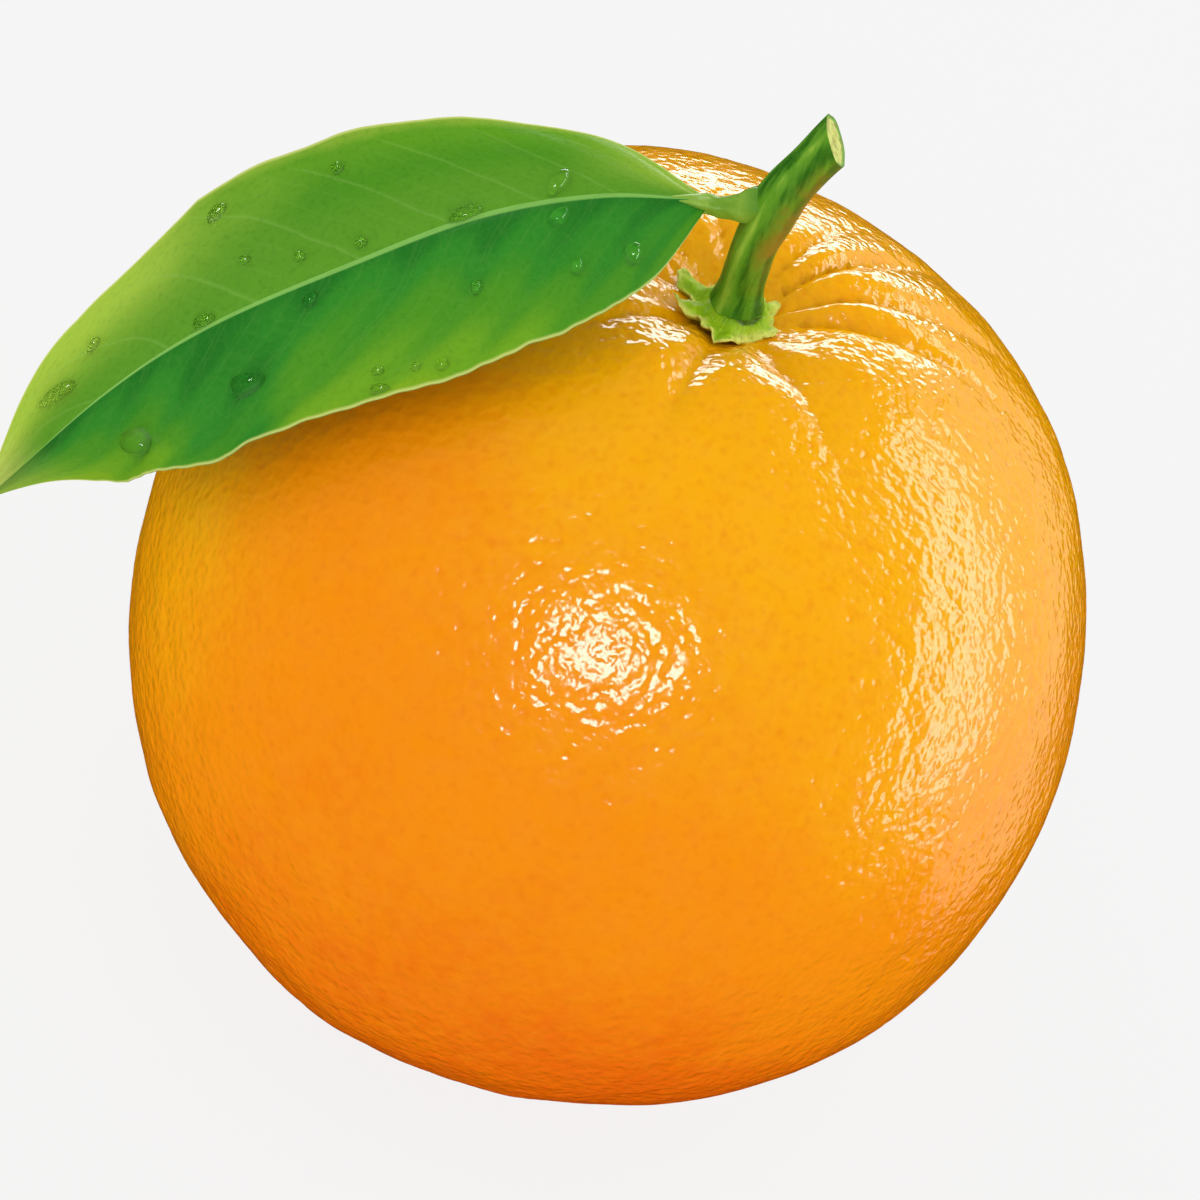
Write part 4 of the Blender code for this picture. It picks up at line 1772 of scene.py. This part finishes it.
@dataclass
class LeafBlade:
    """The blade: a thin closed sheet with a midrib, veins, a waved front edge and a paler underside."""

    shape: BladeShape
    thickness: float = 0.42 * MM
    edge_thinning: float = 0.62
    least_half: float = 0.07 * MM
    keel_depth: float = 0.45 * MM
    keel_width: float = 0.55 * MM
    keel_taper: float = 0.75
    under_relief: float = 0.5
    end_share: float = 0.12
    end_roundness: float = 0.2
    notches: Span = (0.010, 0.002)  # depth as a share of the width, on the front edge and on the back edge
    notch_count: int = 9
    notch_wander: Span = (3.3, 2.3)  # how often the notches crowd, and how much
    small_notch_count: float = 31 + 2 / TURN
    small_notch_share: float = 0.4
    notch_sharpness: int = 6
    notch_start: Span = (0.02, 0.2)
    notch_end: Span = (1.0, 0.85)
    edge_crowding: float = 0.92
    steps: int = 330
    columns: int = 111
    finish: BladeFinish = BladeFinish()

    def build(self) -> bpy.types.Object:
        """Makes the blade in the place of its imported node.

        Returns:
            The piece.
        """
        widest = math.pi / 2 * self.edge_crowding
        across = np.sin(np.linspace(-1, 1, self.columns) * widest) / math.sin(widest)
        along, aside = crossed(np.linspace(0, 1, self.steps), np.concatenate((across, across[::-1])))
        lower = np.zeros_like(along)
        lower[:, self.columns :] = 1
        ends = np.sin(math.pi * (self.end_share + (1 - self.end_share) * along)) ** self.end_roundness
        half = np.maximum(self.thickness / 2 * (1 - self.edge_thinning * aside**2) * ends, self.least_half)
        relief = self.shape.relief(along, aside)
        keel = self.keel_depth * hump(aside * self.shape.width(along, aside), self.keel_width)
        keel = keel * (1 - self.keel_taper * along)
        lift = np.where(lower > 0, -half + relief * self.under_relief - keel, half + relief)
        points = self.shape.point(along, self._notched(along, aside), lift)
        loop = 2 * self.columns
        faces = grid_faces(self.steps, loop, True)
        for first in (0, (self.steps - 1) * loop):
            rung = [(first + step, first + loop - 1 - step) for step in range(self.columns)]
            faces += [(*rung[step], *rung[step + 1][::-1]) for step in range(self.columns - 1)]
        marks = {"blade_along": along, "blade_aside": aside, "blade_under": lower}
        mesh = new_mesh("orange_leaf_blade", points, faces, marks)
        return stand_in("leaf_blade", mesh, self.finish.make(), Slot.LEAF_BLADE)

    def _notched(self, along: Array, aside: Array) -> Array:
        """The sideways share with the edge's fine notches.

        Args:
            along: From 0 at the stalk to 1 at the tip.
            aside: 1 on the back edge and -1 on the front edge.

        Returns:
            The changed aside.
        """
        often, much = self.notch_wander
        wander = much * np.sin(TURN * often * along)
        large = np.sin(TURN * self.notch_count * along + wander)
        teeth = large + self.small_notch_share * np.sin(TURN * self.small_notch_count * along)
        share = np.where(aside < 0, *self.notches)
        share = share * smooth_step(*self.notch_start, along) * smooth_step(*self.notch_end, along)
        return aside * (1 + share * teeth * np.abs(aside) ** self.notch_sharpness)


@dataclass
class WaterDrops:
    """Clear drops lying on the blade's upper face."""

    shape: BladeShape
    blade: LeafBlade
    drops: tuple[tuple[float, float, float, float, float], ...] = (
        # along, aside, length and width in mm, and turn from the midrib in degrees
        (0.22, 0.20, 2.76, 1.26, 35),
        (0.23, -0.12, 2.18, 1.38, 28),
        (0.35, 0.05, 2.88, 1.03, 8),
        (0.13, -0.61, 2.3, 1.61, -20),
        (0.22, -0.53, 1.38, 1.15, 0),
        (0.36, -0.43, 1.26, 0.92, 40),
        (0.49, 0.70, 1.03, 0.92, 0),
        (0.48, 0.11, 0.92, 0.8, 0),
        (0.55, 0.17, 0.8, 0.8, 0),
        (0.61, 0.30, 0.8, 0.69, 0),
        (0.64, 0.76, 1.72, 0.92, 25),
        (0.55, -0.11, 1.15, 1.03, 0),
        (0.67, 0.05, 1.72, 0.92, -5),
        (0.82, 0.53, 1.03, 0.69, 15),
        (0.87, 0.46, 2.76, 1.03, -25),
        (0.63, -0.52, 2.53, 1.84, 12),
        (0.80, -0.64, 2.64, 2.3, 30),
        (0.42, -0.88, 1.03, 0.92, 0),
        (0.45, -0.84, 0.69, 0.69, 0),
        (0.49, -0.79, 0.8, 0.69, 0),
        (0.49, -0.94, 1.26, 0.8, 0),
    )
    height_share: float = 0.70
    dome_roundness: float = 2.4
    two_sided: float = 0.07
    three_sided: float = 0.05
    three_sided_turn: float = 2.3
    sunk: float = 0.12 * MM
    shade_way: Place = (-0.8, 0.45, 0.4)
    turns: int = 40
    rings: int = 14
    first_ring: float = 0.02
    finish: WaterFinish = WaterFinish()

    def build(self) -> None:
        """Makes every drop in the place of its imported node."""
        water = self.finish.make()
        for number, drop in enumerate(self.drops, start=1):
            mesh = self._drop(number, *drop)
            stand_in(f"drop_{number:02d}", mesh, water, Slot.WATER)

    def _drop(
        self, number: int, along: float, aside: float, length: float, width: float, turn: float
    ) -> bpy.types.Mesh:
        """One drop's mesh, lying on the blade.

        Args:
            number: Which drop it is.
            along: Its place along the midrib.
            aside: Its place aside.
            length: Its length in mm.
            width: Its width in mm.
            turn: Its turn from the midrib in degrees.

        Returns:
            The mesh.
        """
        angle = np.linspace(0, TURN, self.turns, endpoint=False)
        ring, around = crossed(np.sin(np.linspace(self.first_ring, 1, self.rings) * math.pi / 2), angle)
        outline = 1 + self.two_sided * np.sin(2 * around + number)
        outline += self.three_sided * np.sin(3 * around + self.three_sided_turn * number)
        x = ring * outline * np.cos(around) * length / 2 * MM
        y = ring * outline * np.sin(around) * width / 2 * MM
        tilt = math.radians(turn)
        ahead = x * math.cos(tilt) - y * math.sin(tilt)
        across = -(x * math.sin(tilt) + y * math.cos(tilt))
        half_width = float(self.shape.width(np.array(along), np.array(aside)))
        places = (along + ahead / BLADE_LENGTH, aside + across / half_width)
        dome = self.height_share * width * MM * np.sqrt(np.maximum(1 - ring**self.dome_roundness, 0))
        thinning = 1 - self.blade.edge_thinning * places[1] ** 2
        relief = self.shape.relief(*places) + self.blade.thickness / 2 * thinning
        upper = self.shape.point(*places, relief) + self.shape.normal(*places) * dome[..., None]
        lower = self.shape.point(*places, relief - self.sunk)[::-1]
        rows = np.concatenate((upper, lower))
        points, faces = closed_skin(rows, rows[0].mean(0), rows[-1].mean(0))
        shaded = (points - points[-2]) @ unit(np.array(self.shade_way)) / (width / 2 * MM)
        return new_mesh(f"orange_drop_{number:02d}", points, faces, {"drop_shade": shaded})


# ---------------------------------------------------------------- studio


@dataclass(frozen=True)
class Softbox:
    """A flat rectangular light that faces the fruit, with its height along a given way."""

    name: str
    way: Place
    distance: float
    width: float
    height: float
    radiance: float
    tall_way: Place = (0.0, 0.0, 1.0)
    lights_matte: bool = True

    def build(self, target: Vector) -> None:
        """Hangs the light and aims it at the target.

        Args:
            target: The point that the light faces.
        """
        light = bpy.data.lights.new(self.name, "AREA")
        light.shape = "RECTANGLE"
        light.size = self.width
        light.size_y = self.height
        light.energy = self.radiance * math.pi * self.width * self.height
        holder = bpy.data.objects.new(self.name, light)
        bpy.context.scene.collection.objects.link(holder)
        outward = Vector(self.way).normalized()
        across = Vector(self.tall_way).cross(outward).normalized()
        turned = Matrix((across, outward.cross(across), outward)).transposed().to_4x4()
        holder.matrix_world = Matrix.Translation(target + outward * self.distance) @ turned
        holder.visible_camera = False
        holder.visible_diffuse = self.lights_matte


@dataclass
class Studio:
    """The pale floor with its far wall, the soft lights, and the camera."""

    target: Vector
    floor_rings: Span = (0.02, 0.3)
    floor_drop: float = 0.05 * MM
    floor_turns: int = 96
    bend_steps: int = 12
    floor_radius: float = 1.6
    sweep_radius: float = 1.0
    wall_height: float = 2.4
    room_light: float = 1.09
    softboxes: tuple[Softbox, ...] = (
        Softbox("front_softbox", (-0.02, -0.80, 0.60), 0.42, 0.13, 0.13, 15.0, LIGHT_RISE, False),
        Softbox("side_strip", (0.905, 0.225, 0.36), 0.50, 0.145, 0.80, 4.3, LIGHT_RISE, False),
        Softbox("side_wall", (0.843, 0.538, 0.035), 0.55, 0.56, 0.90, 0.6, LIGHT_RISE),
        Softbox("back_panel", (-0.10, 0.95, 0.25), 0.60, 0.50, 0.22, 6.5, (0.0, 0.0, 1.0), False),
    )
    camera_distance: float = 0.300
    elevation: float = 42.0
    roll: float = 21.5
    aside: float = 0.976 * MM
    above: float = 1.479 * MM
    lens: float = 112.5
    nearest: float = 0.01

    def build(self) -> None:
        """Sets up the floor, the lights and the camera."""
        self._floor()
        self._room()
        for softbox in self.softboxes:
            softbox.build(self.target)
        self._camera()
        view = bpy.context.scene.view_settings
        view.view_transform = "Standard"
        LOG.info("studio: %d softboxes", len(self.softboxes))

    def _floor(self) -> None:
        """Makes the floor, which sweeps up into a round wall."""
        bend = np.linspace(0, math.pi / 2, self.bend_steps)[1:]
        flat = (*self.floor_rings, self.floor_radius)
        radii = np.concatenate((flat, self.floor_radius + self.sweep_radius * np.sin(bend)))
        heights = np.concatenate((np.zeros(len(flat)), self.sweep_radius * (1 - np.cos(bend))))
        radii = np.append(radii, radii[-1])
        heights = np.append(heights, self.wall_height)
        turn = np.linspace(0, TURN, self.floor_turns, endpoint=False)
        reach, angle = crossed(radii, turn)
        rows = round_axis(angle, reach, heights[:, None] - self.floor_drop)
        last = len(radii) * len(turn)
        faces = grid_faces(len(radii), len(turn), True) + fan_faces(range(len(turn)), last)
        points = np.concatenate((rows.reshape(-1, 3), [(0, 0, -self.floor_drop)]))
        mesh = bpy.data.meshes.new("studio_floor")
        mesh.from_pydata(points.tolist(), [], faces)
        mesh.shade_smooth()
        mesh.materials.append(FloorFinish().make())
        floor = bpy.data.objects.new("studio_floor", mesh)
        bpy.context.scene.collection.objects.link(floor)
        floor.visible_diffuse = False
        floor.visible_glossy = False
        floor.visible_shadow = False

    def _room(self) -> None:
        """Fills the room with even light that shows in no reflection."""
        world = bpy.data.worlds.new("studio_room")
        world.use_nodes = True
        sky = world.node_tree.nodes["Background"]
        sky.inputs["Color"].default_value = (1, 1, 1, 1)
        sky.inputs["Strength"].default_value = self.room_light
        world.cycles_visibility.glossy = False
        bpy.context.scene.world = world

    def _camera(self) -> None:
        """Places the camera in front, raised and rolled."""
        lift = math.radians(self.elevation)
        tilt = math.radians(self.roll)
        back = Vector((0, -math.cos(lift), math.sin(lift)))
        level = Vector((1, 0, 0))
        upright = back.cross(level)
        right = level * math.cos(tilt) + upright * math.sin(tilt)
        up = upright * math.cos(tilt) - level * math.sin(tilt)
        lens = bpy.data.cameras.new("camera")
        lens.lens = self.lens
        lens.clip_start = self.nearest
        camera = bpy.data.objects.new("camera", lens)
        bpy.context.scene.collection.objects.link(camera)
        place = self.target + back * self.camera_distance - right * self.aside + up * self.above
        camera.matrix_world = Matrix.Translation(place) @ Matrix((right, up, back)).transposed().to_4x4()
        bpy.context.scene.camera = camera


def main() -> None:
    """Builds the pieces in order, then the studio."""
    logging.basicConfig(level=logging.INFO, format="%(name)s: %(message)s")
    peel = PeelShape()
    blade = BladeShape()
    Fruit(peel).build()
    Calyx(peel).build()
    Stem().build()
    LeafStalk().build()
    leaf = LeafBlade(blade)
    leaf.build()
    WaterDrops(blade, leaf).build()
    Studio(Vector((0, 0, peel.centre_z))).build()


if __name__ == "__main__":
    main()
